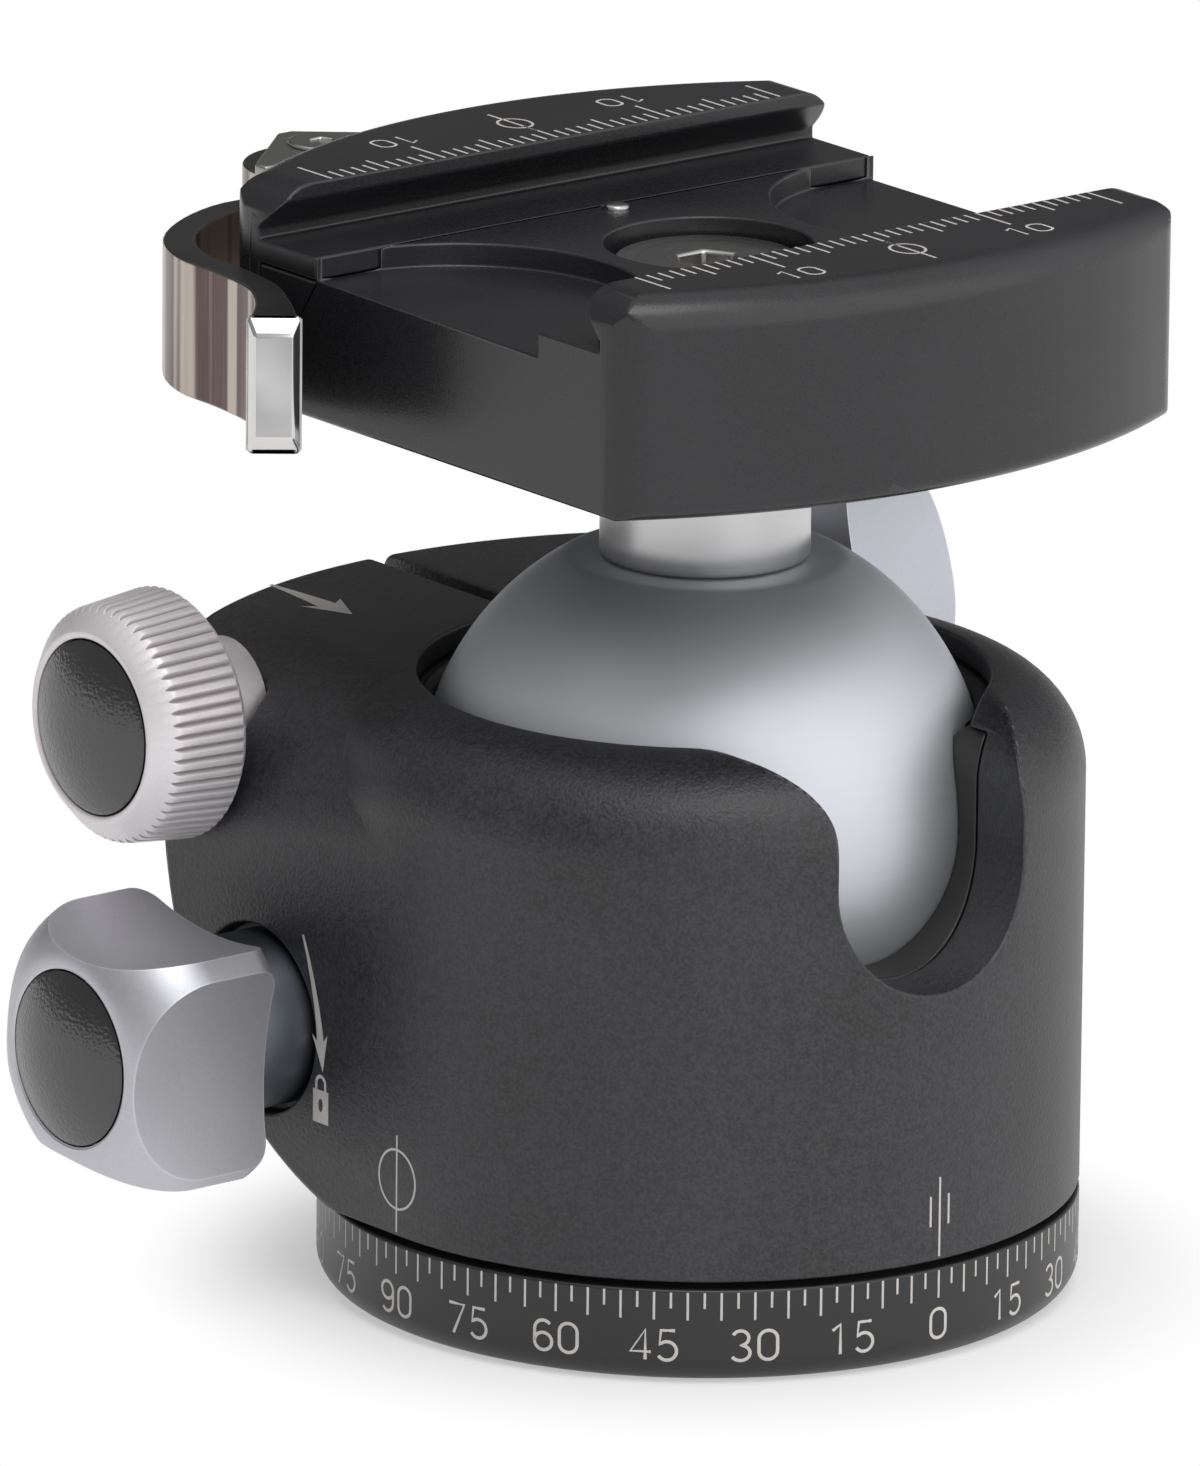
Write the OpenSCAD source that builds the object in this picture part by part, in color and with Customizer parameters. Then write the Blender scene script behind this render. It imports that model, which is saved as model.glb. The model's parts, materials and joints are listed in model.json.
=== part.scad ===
// Tripod ball head with a panning base and a lever-release dovetail clamp.
// Z is up, the origin is the centre of the base's underside, and the zero mark faces -Y.

/* [Base and panning hub] */
// Height of the degree ring
base_h = 6.9; // [6:0.1:8]
// Rounding of the degree ring's lower edge
base_edge_r = 2; // [0.5:0.1:3]
// Running gap between the degree ring and the housing
pan_gap = 0.5; // [0.45:0.05:0.8]
// Depth of the hub's top below the ball's centre
hub_drop = 13; // [12.6:0.1:13.4]
// Solid left in the hub between the tripod thread and the ball's hollow
hub_floor_t = 2.15; // [1.5:0.05:3]
// Wall of the sleeve bearing round the hub
bushing_wall = 0.95; // [0.8:0.05:1.2]
// Room between the ring that keeps the housing on the hub and the pan-lock screw
snap_room = 1.8; // [1.2:0.1:2.2]
// Width of the bearing washer between the ring and the housing
washer_w = 3.8; // [3:0.1:4.2]
// Thickness of the ring that keeps the housing on the hub
snap_ring_t = 1; // [0.8:0.1:1.2]
// Outer radius of the steel bush that holds the tripod thread
insert_r = 6.5; // [6:0.1:8]
// Length of the tripod thread
insert_len = 11; // [9:0.1:12]
// Core radius of the 3/8 inch tripod thread
thread_r = 3.97; // [3.9:0.01:4]

/* [Housing] */
// Wall of the round body outside the opening, rolled over at its top
rim_r = 6.8; // [6.4:0.1:7.4]
// Height of the housing's flat top above the ball's centre
cover_h = 9.1; // [8.6:0.1:10]
// Gap between the ball and the edge of the opening
opening_room = 0.1; // [0.1:0.05:0.4]
// Thickness of the lip over the socket liner
lip_t = 1.8; // [1.4:0.1:2]
// Wall of the split socket liner at the ball's widest place
liner_wall = 1.75; // [1.6:0.05:1.8]
// Depth of the liner's foot below the ball's centre
liner_depth = 10; // [9:0.1:10.5]
// Distance from the clamp bolt to the back of the ears
ear_back = 12.7; // [11.5:0.1:14]
// Rounding of the shoulders above the flanks
shoulder_r = 10.9; // [9:0.1:11]
// Radius of the curve under the ears
belly_r = 34.7; // [34:0.1:36]
// Depth of the ears' widest place below the top
belly_drop = 12; // [11:0.1:13]
// Rounding of the ears' upper back edge
ear_edge_r = 1.5; // [0.8:0.1:2]
// Width of the clamping slit between the ears
slit_w = 1.8; // [1.2:0.1:2.4]
// Rounding where the drop notch meets the top
notch_flare_r = 5.2; // [4:0.1:6]

/* [Ball and stem] */
// Radius of the ball
ball_r = 20; // [19.5:0.1:20.5]
// Depth of the ball's flat below its crown
ball_flat_drop = 2.5; // [2.3:0.1:2.8]
// Thickness of the dish that carries the ball
seat_wall = 1; // [0.8:0.1:1.1]
// Radius of the stem's neck
neck_r = 7.4; // [7:0.1:7.6]
// Length of the stem between the ball and the clamp
neck_len = 10.7; // [10.5:0.1:12]
// How far the bead at the neck's foot stands out
bead_w = 0.4; // [0.2:0.1:0.5]
// Height of the bead
bead_h = 0.9; // [0.6:0.1:0.9]
// Radius of the stem's shank inside the ball
shank_r = 5.95; // [5.5:0.05:6.2]
// Length of the stem's shank inside the ball
shank_len = 11; // [9:0.5:13]
// Room between the stem and the wall of the drop notch
notch_room = 0.8; // [0.6:0.1:1]

/* [Knobs on the clamp bolt] */
// Wall between the liner and the hole of the clamp bolt
bolt_wall = 0.9; // [0.8:0.1:1.5]
// Depth of the clamp bolt below the housing's top
bolt_drop = 4.3; // [4:0.1:5]
// Radius of the clamp bolt
bolt_r = 2.5; // [2.3:0.1:2.6]
// Radius of the bolt's tail under the friction knob
bolt_tail_r = 1.9; // [1.6:0.1:2]
// Depth of the friction collar's seat in the flank
friction_seat_depth = 4.5; // [4:0.1:5]
// Radius of the friction collar
friction_collar_r = 4.6; // [4:0.1:5]
// Gap between the flank and the friction knob
friction_gap = 0.3; // [0.3:0.1:1]
// Length of the friction knob
friction_len = 7.4; // [7:0.1:9]
// Radius of the friction knob
friction_knob_r = 9; // [8.7:0.1:9.4]
// Length of the friction knob's coned front
friction_cone_h = 1.8; // [1.4:0.1:2.4]
// How much thinner the friction knob is at its front end
friction_taper = 0.5; // [0.2:0.1:0.8]
// Depth of the ball-lock washer's seat in the flank
main_seat_depth = 5.4; // [5:0.1:6]
// Gap between the flank and the ball-lock knob
main_gap = 0.4; // [0.3:0.1:1]
// Length of the ball-lock knob
main_len = 9.2; // [8.9:0.1:10]
// Radius of the ball-lock knob over its lobes
main_knob_r = 13.8; // [13.2:0.1:14.6]
// Radius of the ball-lock knob between its lobes
main_waist_r = 9.2; // [8.6:0.1:10]
// Radius of the ball-lock knob's scoops
main_scoop_r = 22; // [19:0.5:26]
// Length of the ball-lock knob's curved front edge
main_shoulder_h = 8.1; // [7.2:0.1:8.4]

/* [Pan lock] */
// Distance of the pan-lock screw behind the panning axis
pan_lock_y = 16.3; // [16:0.1:16.6]
// Radius of the pan-lock screw
pan_screw_r = 2.4; // [2:0.1:2.5]
// Radius of the pan-lock collar
pan_collar_r = 6.3; // [6:0.1:6.4]
// Depth of the spot face round the pan-lock collar
pan_recess = 1.4; // [1:0.1:2]
// How far the collar stands out of the flank
pan_stand = 4.8; // [4.2:0.1:5.2]
// Length of the pan-lock knob
pan_len = 11.6; // [11:0.1:12.5]
// Radius of the pan-lock knob over its lobes
pan_knob_r = 11.2; // [10.5:0.1:11.5]
// Radius of the pan-lock knob between its lobes
pan_waist_r = 7.4; // [7.2:0.1:8]
// Radius of the pan-lock knob's scoops
pan_scoop_r = 25; // [20:0.5:30]
// Length of the pan-lock knob's curved front edge
pan_shoulder_h = 6; // [5:0.1:7]
// Travel of the pan-lock shoe
shoe_travel = 0.3; // [0.2:0.05:0.4]

/* [Parts that the knobs share] */
// Radius of the black inserts in the two smaller knobs
cap_r = 6.2; // [5.8:0.1:6.4]
// Radius of the black insert in the ball-lock knob
main_cap_r = 7; // [6.6:0.1:7.3]
// Bulge of the black inserts
cap_bulge = 1.3; // [0.8:0.1:2]
// Depth of the insert's seat in its knob
cap_seat = 1.2; // [0.8:0.1:1.6]
// Rim of each knob round its insert
knob_rim = 0.7; // [0.5:0.1:1]
// Depth of the well for the knob's own screw, below the insert
knob_socket = 3.2; // [2.8:0.1:3.6]
// How far a screw or bolt reaches into its knob
knob_bite = 3; // [2.5:0.1:3.2]
// Radius of the screws that hold the two larger knobs
knob_screw_r = 1.5; // [1.2:0.1:1.6]
// Radius of the screw that holds the friction knob
tail_screw_r = 1; // [0.8:0.1:1.1]
// Radius of those screws' heads
knob_screw_head_r = 2.7; // [2.2:0.1:3]
// Height of those screws' heads
knob_screw_head_h = 1.6; // [1.2:0.1:2]
// Depth of those screws' thread behind the knob's bite
knob_thread = 2; // [1.5:0.1:3]

/* [Quick-release clamp] */
// Height of the clamp
clamp_h = 15.8; // [15:0.1:17]
// Length of the clamp along the channel
clamp_len = 49.6; // [48:0.1:52]
// Gap between the jaws' lips when closed
lip_gap = 33.8; // [33.4:0.1:34.2]
// Depth of the dovetail grooves behind the lips
dovetail_d = 2.2; // [2:0.1:2.4]
// Height of the jaws' lips
lip_h = 1.1; // [0.8:0.1:1.4]
// Depth of the channel's floor below the jaws' tops
channel_d = 4.1; // [3.9:0.1:4.4]
// Depth of the round reliefs in the channel's floor
relief_d = 1.7; // [1.4:0.1:2]
// Radius of the round reliefs
relief_r = 12.7; // [12.5:0.1:13]
// How far the reliefs' centres lie inside the clamp's ends
relief_inset = 3; // [2.6:0.1:3.4]
// Thickness of the fixed jaw behind its groove
front_wall = 8.9; // [8.4:0.1:10]
// Thickness of the moving jaw behind its groove
back_wall = 10.5; // [10.1:0.1:11]
// Bow radius of the fixed jaw's face
front_bow_r = 50; // [46:1:60]
// Bow radius of the moving jaw's back
back_bow_r = 45; // [42:1:50]
// Rounding of the clamp's upright corners
corner_r = 4; // [3:0.1:5]
// Rounding of the jaws' top edges
top_edge_r = 2.5; // [1.5:0.1:3]
// Rounding of the clamp's bottom edges
bottom_edge_r = 1.2; // [0.8:0.1:1.6]
// Radius of the counterbore over the stem
counterbore_r = 7.3; // [7:0.1:7.5]
// Depth of the counterbore below the channel's floor
counterbore_d = 3.9; // [3.4:0.1:4.2]
// Radius of the clamp screw's head
screw_head_r = 6.6; // [6:0.1:6.8]
// Height of the clamp screw's head
screw_head_h = 2.8; // [2.4:0.1:3]
// Radius of the clamp screw
screw_r = 3; // [2.8:0.1:3.2]
// Distance of the locating dowel from the stem's axis
dowel_y = 5.2; // [4.8:0.1:5.6]
// Radius of the locating dowel
dowel_r = 0.8; // [0.6:0.1:1]
// Length of the locating dowel, half in the stem and half in the clamp
dowel_len = 3; // [2:0.5:4]
// Radius of the small pin that stops the jaw
stop_r = 0.9; // [0.7:0.1:1]

/* [Jaw and lever] */
// Travel of the moving jaw
jaw_travel = 2; // [1.6:0.1:2.2]
// Swing of the lever in degrees
lever_swing = 110; // [90:1:115]
// Length of the moving jaw's tongue in the channel
tongue_len = 6.5; // [6:0.1:7]
// Distance of the lever's pivot from the middle, along the channel
pivot_x = 10; // [9.5:0.1:10.5]
// How far the lever's pivot lies behind the moving jaw
pivot_out = 1.6; // [1.4:0.1:2]
// Radius of the lever's pivot
pivot_r = 1.6; // [1.4:0.1:1.7]
// Radius of the pivot's head
pivot_head_r = 2.4; // [2:0.1:2.8]
// Height of the pivot's head over the plate
pivot_head_h = 0.3; // [0.2:0.1:0.6]
// Radius of the closed cam
cam_r = 5; // [4.8:0.1:5.2]
// Height of the lever's strap
strap_h = 9.8; // [9:0.1:10.5]
// Thickness of the lever's strap
strap_t = 2.3; // [2:0.1:2.6]
// Thickness of the lever's tip
tip_t = 3.8; // [3:0.1:4.4]
// Thickness of the plate over the lever's hub
plate_t = 1.2; // [1:0.1:1.4]
// Depth of the lever's hub below the jaws' tops
hub_sink = 3.2; // [3:0.1:3.6]
// Thickness of the hard plate that the cam runs on
cam_plate_t = 0.9; // [0.7:0.1:1.2]
// Radius of the jaw's guide pins
pin_r = 1.5; // [1.2:0.1:1.6]
// How far the guide pins lie inside the clamp's ends
pin_inset = 5.4; // [5.2:0.1:5.8]
// Height of the guide pins above the clamp's underside
pin_rise = 4.6; // [4.2:0.1:5]
// Depth of the guide pins in the body
pin_depth = 9; // [7:0.1:10]
// Reach of the guide pins into the jaw
pin_reach = 4.8; // [4:0.1:5]
// Outer radius of the springs round the guide pins
spring_r = 2.4; // [2.2:0.1:2.6]
// Length of the closed springs
spring_len = 3; // [2.4:0.1:3.4]
// Radius of the draw bolt
draw_r = 2; // [1.8:0.1:2.1]
// Height of the draw bolt above the clamp's underside
draw_rise = 5.4; // [5.2:0.1:5.6]
// Radius of the draw bolt's eye
eye_r = 3.1; // [2.9:0.1:3.2]

/* [Hidden] */
$fn = 96;

far = 60;                 // longer than any cut needs to be
running = 0.05;           // radial clearance of a running fit
play = 0.1;               // gap between pieces that are assembled together
cut = 1;                  // how far a cutting tool overshoots

// ball, body and base
opening_r = ball_r + opening_room;
body_r = opening_r + rim_r;
hub_r = ball_r;
relief_ball_r = ball_r + seat_wall + 0.35;
insert_well = insert_len + 0.5;
ball_z = insert_well + hub_floor_t + relief_ball_r;
body_top = ball_z + cover_h;
hub_top = ball_z - hub_drop;
housing_z = base_h + pan_gap;
bushing_r = hub_r + running + bushing_wall;
bushing_z = housing_z + 0.2;
washer_inset = 1.6;       // how far the bearing washer lies inside the ring
hub_bore_r = hub_r + 3 * running;
pan_lock_z = hub_top - pan_screw_r - 0.2;
snap_z = pan_lock_z - pan_screw_r - snap_room;
bushing_top = snap_z - snap_ring_t;
snap_grip = 1.2;          // how far the snap ring reaches into the hub and into the housing
liner_r = ball_r + running + liner_wall;
liner_bore_r = liner_r + play;
liner_z = ball_z - liner_depth;
liner_top = body_top - lip_t - running;
liner_edge_r = opening_r - 0.4;
notch_r = neck_r + notch_room;
slit_floor_z = liner_z - 1;

// clamp bolt and its knobs, places measured from the middle plane
bolt_y = liner_bore_r + bolt_wall + bolt_r + play;
bolt_z = body_top - bolt_drop;
ear_r = bolt_y + ear_back;
belly_z = body_top - belly_drop;
friction_seat_x = body_r - friction_seat_depth;
friction_back_x = body_r + friction_gap;
friction_front_x = friction_back_x + friction_len;
friction_edge = 0.4;      // chamfer at the back of the friction knob
main_seat_x = body_r - main_seat_depth;
main_back_x = body_r + main_gap;
main_front_x = main_back_x + main_len;
main_turn = 70;           // where the first scoop of the ball-lock knob points
ear_spot_r = friction_collar_r + 0.6;
main_washer_r = 2 * bolt_r + 0.4;
main_washer_t = 0.8;

// pan lock
pan_spot_x = body_r - pan_recess;
pan_spot_r = pan_collar_r + 0.5;
pan_back_x = body_r + pan_stand;
pan_front_x = pan_back_x + pan_len;
pan_turn = -4.5;          // where the first scoop of the pan-lock knob points
shoe_len = 2.2;           // length of the shoe on its inner side
shoe_face_x = sqrt(pow(hub_r + play, 2) - pow(pan_lock_y - pan_screw_r, 2)) + shoe_len;

// clamp
stem_foot_z = ball_z + ball_r - ball_flat_drop;
clamp_z = stem_foot_z + neck_len;
clamp_top = clamp_z + clamp_h;
half_len = clamp_len / 2;
lip_y = lip_gap / 2;
groove_y = lip_y + dovetail_d;
front_reach = groove_y + front_wall;
back_reach = groove_y + back_wall;
floor_z = clamp_top - channel_d;
relief_z = floor_z - relief_d;
relief_x = half_len - relief_inset;
counterbore_z = floor_z - counterbore_d;
split_y = groove_y;       // the moving jaw starts here
tongue_y = groove_y - tongue_len;
jaw_gap = 0.15;           // clearance between the closed jaw and the body
jaw_z = clamp_z + 0.2;
stop_x = stop_r;
stop_y = tongue_y - jaw_gap - stop_r - play;
stop_depth = 2;
pin_x = half_len - pin_inset;
pin_z = clamp_z + pin_rise;
pin_root_y = split_y - pin_depth;
pin_tip_y = split_y + pin_reach;
draw_z = clamp_z + draw_rise;
draw_root_y = split_y - pin_depth;

// lever
pivot_y = back_reach + pivot_out;
eye_h = 2 * draw_r + 0.4;
socket_depth = 0.5;       // hexagon in the pivot's head
socket_r = 0.9;
cam_nose = 0.6;           // how far the open cam's nose stands out of the closed cam
strap_z = jaw_z + play;
hub_z1 = clamp_top - hub_sink;
plate_z = hub_z1 + play;
plate_half = cam_r + 2.2;
recess_half = plate_half + 1.2;
recess_top = plate_z + plate_t + 0.4;
cam_face_y = pivot_y - cam_r - 0.3;

// ---- shared shapes -------------------------------------------------------

// Moves a shape that is drawn along +Z so that it points along +X or -X at a knob's axis.
module along_x(side, y, z) {
    translate([0, y, z]) rotate([0, 90 * side, 0]) children();
}

// Ring or disc between two heights, for revolving.
module band(r0, r1, z0, z1) {
    translate([r0, z0]) square([r1 - r0, z1 - z0]);
}

// Square with one quarter-round bite out of it: what a fillet leaves of a corner.
module corner_bite(r) {
    difference() {
        square(r + cut);
        circle(r, $fn = 64);
    }
}

// Outline of the drop notch seen along Y, flared where it meets the top.
module notch_outline(top) {
    translate([0, ball_z]) circle(notch_r);
    translate([-notch_r, ball_z]) square([2 * notch_r, top + cut - ball_z]);
    for (side = [0, 1]) mirror([side, 0])
        difference() {
            translate([notch_r - cut, top - notch_flare_r])
                square([notch_flare_r + cut, notch_flare_r + cut]);
            translate([notch_r + notch_flare_r, top - notch_flare_r]) circle(notch_flare_r);
        }
}

module notch_cut() {
    translate([0, -ball_r / 2, 0]) rotate([90, 0, 0]) linear_extrude(far) notch_outline(body_top);
}

module slit_cut() {
    translate([-slit_w / 2, ball_r / 2, slit_floor_z]) cube([slit_w, far, far]);
}

// Domed black insert, standing on z = 0 with its rim cap_seat high.
module domed_insert(r) {
    dome_r = (r * r + cap_bulge * cap_bulge) / (2 * cap_bulge);
    rotate_extrude() {
        band(0, r, 0, cap_seat);
        intersection() {
            translate([0, cap_seat + cap_bulge - dome_r]) circle(dome_r);
            band(0, r, cap_seat, cap_seat + cap_bulge);
        }
    }
}

// Cap screw that holds a knob, head up.
module knob_screw(length, r) {
    difference() {
        union() {
            cylinder(r = r, h = length, $fn = 48);
            translate([0, 0, length]) cylinder(r = knob_screw_head_r, h = knob_screw_head_h, $fn = 48);
        }
        translate([0, 0, length + knob_screw_head_h / 3])
            cylinder(r = 1.4, h = knob_screw_head_h + cut, $fn = 6);
    }
}

// Room inside a knob for the screw and the insert, seen from its front face at z = front.
module knob_well(front, r, screw) {
    translate([0, 0, front - cap_seat]) cylinder(r = r + play, h = cap_seat + cut);
    translate([0, 0, front - cap_seat - knob_socket])
        cylinder(r = knob_screw_head_r + 0.3, h = knob_socket + cut);
    translate([0, 0, front - far]) cylinder(r = screw + running, h = far);
}

// Four-lobed knob between z = back and z = front, hollowed by four upright scoops. Its side curves
// over in an arc that starts shoulder_h below the front and ends at the rim of the insert.
module lobed_knob(back, front, r, rim_r, shoulder_h, scoop_r, waist_r, turn) {
    inset = r - rim_r;
    arc_r = (inset * inset + shoulder_h * shoulder_h) / (2 * inset);
    difference() {
        rotate_extrude() {
            band(0, r, back, front - shoulder_h);
            intersection() {
                translate([r - arc_r, front - shoulder_h]) circle(arc_r);
                band(0, r, front - shoulder_h - 0.01, front);
            }
        }
        for (i = [0 : 3]) rotate(turn + 90 * i)
            translate([waist_r + scoop_r, 0, back - cut]) cylinder(r = scoop_r, h = front - back + 2 * cut);
    }
}

// ---- base and panning ----------------------------------------------------

module pan_base() {
    color("#2c2c30") difference() {
        rotate_extrude() difference() {
            union() {
                band(0, body_r, 0, base_h);
                band(0, hub_r, 0, hub_top);
            }
            translate([body_r - base_edge_r, base_edge_r]) rotate(-90) corner_bite(base_edge_r);
            band(hub_r - snap_grip, hub_r + cut, snap_z - 0.15, snap_z + snap_ring_t + 0.15);
            translate([0, ball_z]) circle(relief_ball_r);
            band(0, insert_r + running / 2, -cut, insert_well);
        }
    }
}

module thread_insert() {
    color("silver") rotate_extrude() band(thread_r, insert_r, 0, insert_len);
}

module thrust_washer() {
    color("#111111") rotate_extrude()
        band(body_r - washer_inset - washer_w, body_r - washer_inset, base_h, housing_z - play);
}

module pan_bushing() {
    color("#b08d57") rotate_extrude() band(hub_r + running, bushing_r, bushing_z, bushing_top);
}

module hub_snap_ring() {
    color("silver") difference() {
        rotate_extrude() band(hub_r - snap_grip + 0.2, hub_r + snap_grip, snap_z, snap_z + snap_ring_t);
        translate([-1.5, 0, snap_z - cut]) cube([3, far, far]);
    }
}

// ---- housing, liner, ball ------------------------------------------------

// Round front of the housing, its top edge rolled over into the opening.
module drum_profile() {
    difference() {
        band(0, body_r, housing_z, body_top);
        translate([opening_r, body_top - rim_r]) corner_bite(rim_r);
    }
}

// Back of the ears in section: upright above, curved in below.
module ear_profile() {
    difference() {
        union() {
            band(0, ear_r, belly_z, body_top);
            intersection() {
                translate([ear_r - belly_r, belly_z]) circle(belly_r, $fn = 180);
                band(0, ear_r, housing_z, belly_z + cut);
            }
        }
        translate([ear_r - ear_edge_r, body_top - ear_edge_r]) corner_bite(ear_edge_r);
    }
}

// Flanks and shoulders seen along Y.
module shoulder_profile() {
    difference() {
        translate([-body_r, housing_z]) square([2 * body_r, body_top - housing_z]);
        for (side = [0, 1]) mirror([side, 0])
            translate([body_r - shoulder_r, body_top - shoulder_r]) corner_bite(shoulder_r);
    }
}

module housing_solid() {
    rotate_extrude() drum_profile();
    intersection() {
        rotate_extrude() ear_profile();
        translate([0, far, 0]) rotate([90, 0, 0]) linear_extrude(far) shoulder_profile();
    }
}

module housing() {
    color("#2b2b2f") difference() {
        housing_solid();
        rotate_extrude() {
            band(0, bushing_r + running / 2, housing_z - cut, bushing_top);
            band(0, hub_bore_r, bushing_top - cut, liner_z + cut);
            band(0, hub_r + snap_grip + play, snap_z - running, snap_z + snap_ring_t + running);
            band(0, liner_bore_r, liner_z, body_top - lip_t);
            band(0, opening_r, liner_z, body_top + cut);
        }
        notch_cut();
        slit_cut();
        // clamp bolt, its tail, and the seats of the collar and the washer
        along_x(1, bolt_y, bolt_z) {
            translate([0, 0, -slit_w]) cylinder(r = bolt_r + play, h = far);
            translate([0, 0, main_seat_x]) cylinder(r = main_washer_r + 0.6, h = far);
        }
        along_x(-1, bolt_y, bolt_z) {
            cylinder(r = bolt_tail_r + play, h = far);
            translate([0, 0, friction_seat_x]) cylinder(r = ear_spot_r, h = far);
        }
        // pan lock
        along_x(-1, pan_lock_y, pan_lock_z) {
            cylinder(r = pan_screw_r + running, h = far);
            translate([0, 0, pan_spot_x]) cylinder(r = pan_spot_r, h = far);
        }
    }
}

module socket_liner() {
    color("#26241f") difference() {
        rotate_extrude() difference() {
            band(ball_r - 4, liner_r, liner_z + running, liner_top);
            translate([0, ball_z]) circle(ball_r + running, $fn = 180);
            // eased upper edge
            polygon([[0, liner_top + cut], [liner_edge_r, liner_top + cut], [liner_edge_r, liner_top - 0.1],
                [liner_edge_r - 1.4, liner_top - 1.2], [0, liner_top - 1.2]]);
        }
        notch_cut();
        slit_cut();
    }
}

module ball_seat() {
    dish_z = ball_z - (ball_r + seat_wall) * cos(38);
    color("#b9b9b0") rotate_extrude() intersection() {
        difference() {
            translate([0, ball_z]) circle(ball_r + seat_wall, $fn = 180);
            translate([0, ball_z]) circle(ball_r + running, $fn = 180);
        }
        band(0, ball_r, 0, dish_z);
    }
}

module ball() {
    color("silver") rotate_extrude() difference() {
        intersection() {
            translate([0, ball_z]) circle(ball_r, $fn = 180);
            band(0, ball_r, 0, stem_foot_z);
        }
        band(-cut, shank_r + running, stem_foot_z - shank_len - 0.3, stem_foot_z + cut);
    }
}

// ---- clamp bolt, main knob, friction knob --------------------------------

module clamp_bolt() {
    color("silver") difference() {
        union() {
            along_x(1, bolt_y, bolt_z) translate([0, 0, -slit_w / 2])
                cylinder(r = bolt_r, h = slit_w / 2 + main_back_x + knob_bite);
            along_x(-1, bolt_y, bolt_z) cylinder(r = bolt_tail_r, h = friction_back_x + knob_bite / 2);
        }
        along_x(1, bolt_y, bolt_z) translate([0, 0, main_back_x - knob_thread - play])
            cylinder(r = knob_screw_r + running / 2, h = far);
        along_x(-1, bolt_y, bolt_z) translate([0, 0, friction_back_x - knob_thread - play])
            cylinder(r = tail_screw_r + running / 2, h = far);
    }
}

module main_thrust_washer() {
    color("#b08d57") along_x(1, bolt_y, bolt_z) translate([0, 0, main_seat_x]) difference() {
        cylinder(r = main_washer_r, h = main_washer_t);
        translate([0, 0, -cut]) cylinder(r = bolt_r + play, h = main_washer_t + 2 * cut);
    }
}

module main_knob() {
    color("#c3c6d2") along_x(1, bolt_y, bolt_z) difference() {
        union() {
            lobed_knob(main_back_x, main_front_x, main_knob_r, main_cap_r + knob_rim, main_shoulder_h,
                main_scoop_r, main_waist_r, main_turn);
            translate([0, 0, main_seat_x + main_washer_t + play])
                cylinder(r = main_washer_r - 0.4, h = main_back_x - main_seat_x);
        }
        knob_well(main_front_x, main_cap_r, knob_screw_r);
        cylinder(r = bolt_r + running / 2, h = main_back_x + knob_bite + play);
    }
}

module main_knob_screw() {
    tip = main_back_x - knob_thread;
    color("silver") along_x(1, bolt_y, bolt_z) translate([0, 0, tip])
        knob_screw(main_front_x - cap_seat - knob_socket - tip, knob_screw_r);
}

module main_knob_cap() {
    color("#151515") along_x(1, bolt_y, bolt_z) translate([0, 0, main_front_x - cap_seat])
        domed_insert(main_cap_r);
}

module friction_collar() {
    color("#d6d2da") along_x(-1, bolt_y, bolt_z) translate([0, 0, friction_seat_x + running]) difference() {
        cylinder(r = friction_collar_r, h = friction_back_x - friction_seat_x - running);
        translate([0, 0, -cut]) cylinder(r = bolt_tail_r + running, h = far);
    }
}

// Knurled drum with a coned front.
module friction_knob() {
    color("#cfc6cc") along_x(-1, bolt_y, bolt_z) difference() {
        rotate_extrude() polygon([[0, friction_back_x], [friction_knob_r - friction_edge, friction_back_x],
            [friction_knob_r, friction_back_x + friction_edge],
            [friction_knob_r - friction_taper, friction_front_x - friction_cone_h],
            [cap_r + knob_rim, friction_front_x], [0, friction_front_x]]);
        knob_well(friction_front_x, cap_r, tail_screw_r);
        cylinder(r = bolt_tail_r + running, h = friction_back_x + knob_bite / 2 + play);
    }
}

module friction_knob_screw() {
    tip = friction_back_x - knob_thread;
    color("silver") along_x(-1, bolt_y, bolt_z) translate([0, 0, tip])
        knob_screw(friction_front_x - cap_seat - knob_socket - tip, tail_screw_r);
}

module friction_cap() {
    color("#151515") along_x(-1, bolt_y, bolt_z) translate([0, 0, friction_front_x - cap_seat])
        domed_insert(cap_r);
}

// ---- pan lock ------------------------------------------------------------

module pan_lock_collar() {
    color("#5b6470") along_x(-1, pan_lock_y, pan_lock_z) translate([0, 0, pan_spot_x + running])
        difference() {
        cylinder(r = pan_collar_r, h = pan_back_x - pan_spot_x - running);
        translate([0, 0, -cut]) cylinder(r = pan_screw_r + running, h = far);
    }
}

module pan_lock_screw() {
    color("silver") along_x(-1, pan_lock_y, pan_lock_z) difference() {
        translate([0, 0, shoe_face_x + shoe_travel + running])
            cylinder(r = pan_screw_r, h = pan_back_x + knob_bite - shoe_face_x - shoe_travel - running);
        translate([0, 0, pan_back_x - knob_thread - play]) cylinder(r = knob_screw_r + running / 2, h = far);
    }
}

module pan_lock_shoe() {
    color("#b08d57") difference() {
        along_x(-1, pan_lock_y, pan_lock_z) cylinder(r = pan_screw_r, h = shoe_face_x);
        cylinder(r = hub_r + running, h = far);
    }
}

module pan_lock_knob() {
    color("#a9a9b2") along_x(-1, pan_lock_y, pan_lock_z) difference() {
        lobed_knob(pan_back_x, pan_front_x, pan_knob_r, cap_r + knob_rim, pan_shoulder_h,
            pan_scoop_r, pan_waist_r, pan_turn);
        knob_well(pan_front_x, cap_r, knob_screw_r);
        cylinder(r = pan_screw_r + running / 2, h = pan_back_x + knob_bite + play);
    }
}

module pan_knob_screw() {
    tip = pan_back_x - knob_thread;
    color("silver") along_x(-1, pan_lock_y, pan_lock_z) translate([0, 0, tip])
        knob_screw(pan_front_x - cap_seat - knob_socket - tip, knob_screw_r);
}

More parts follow.
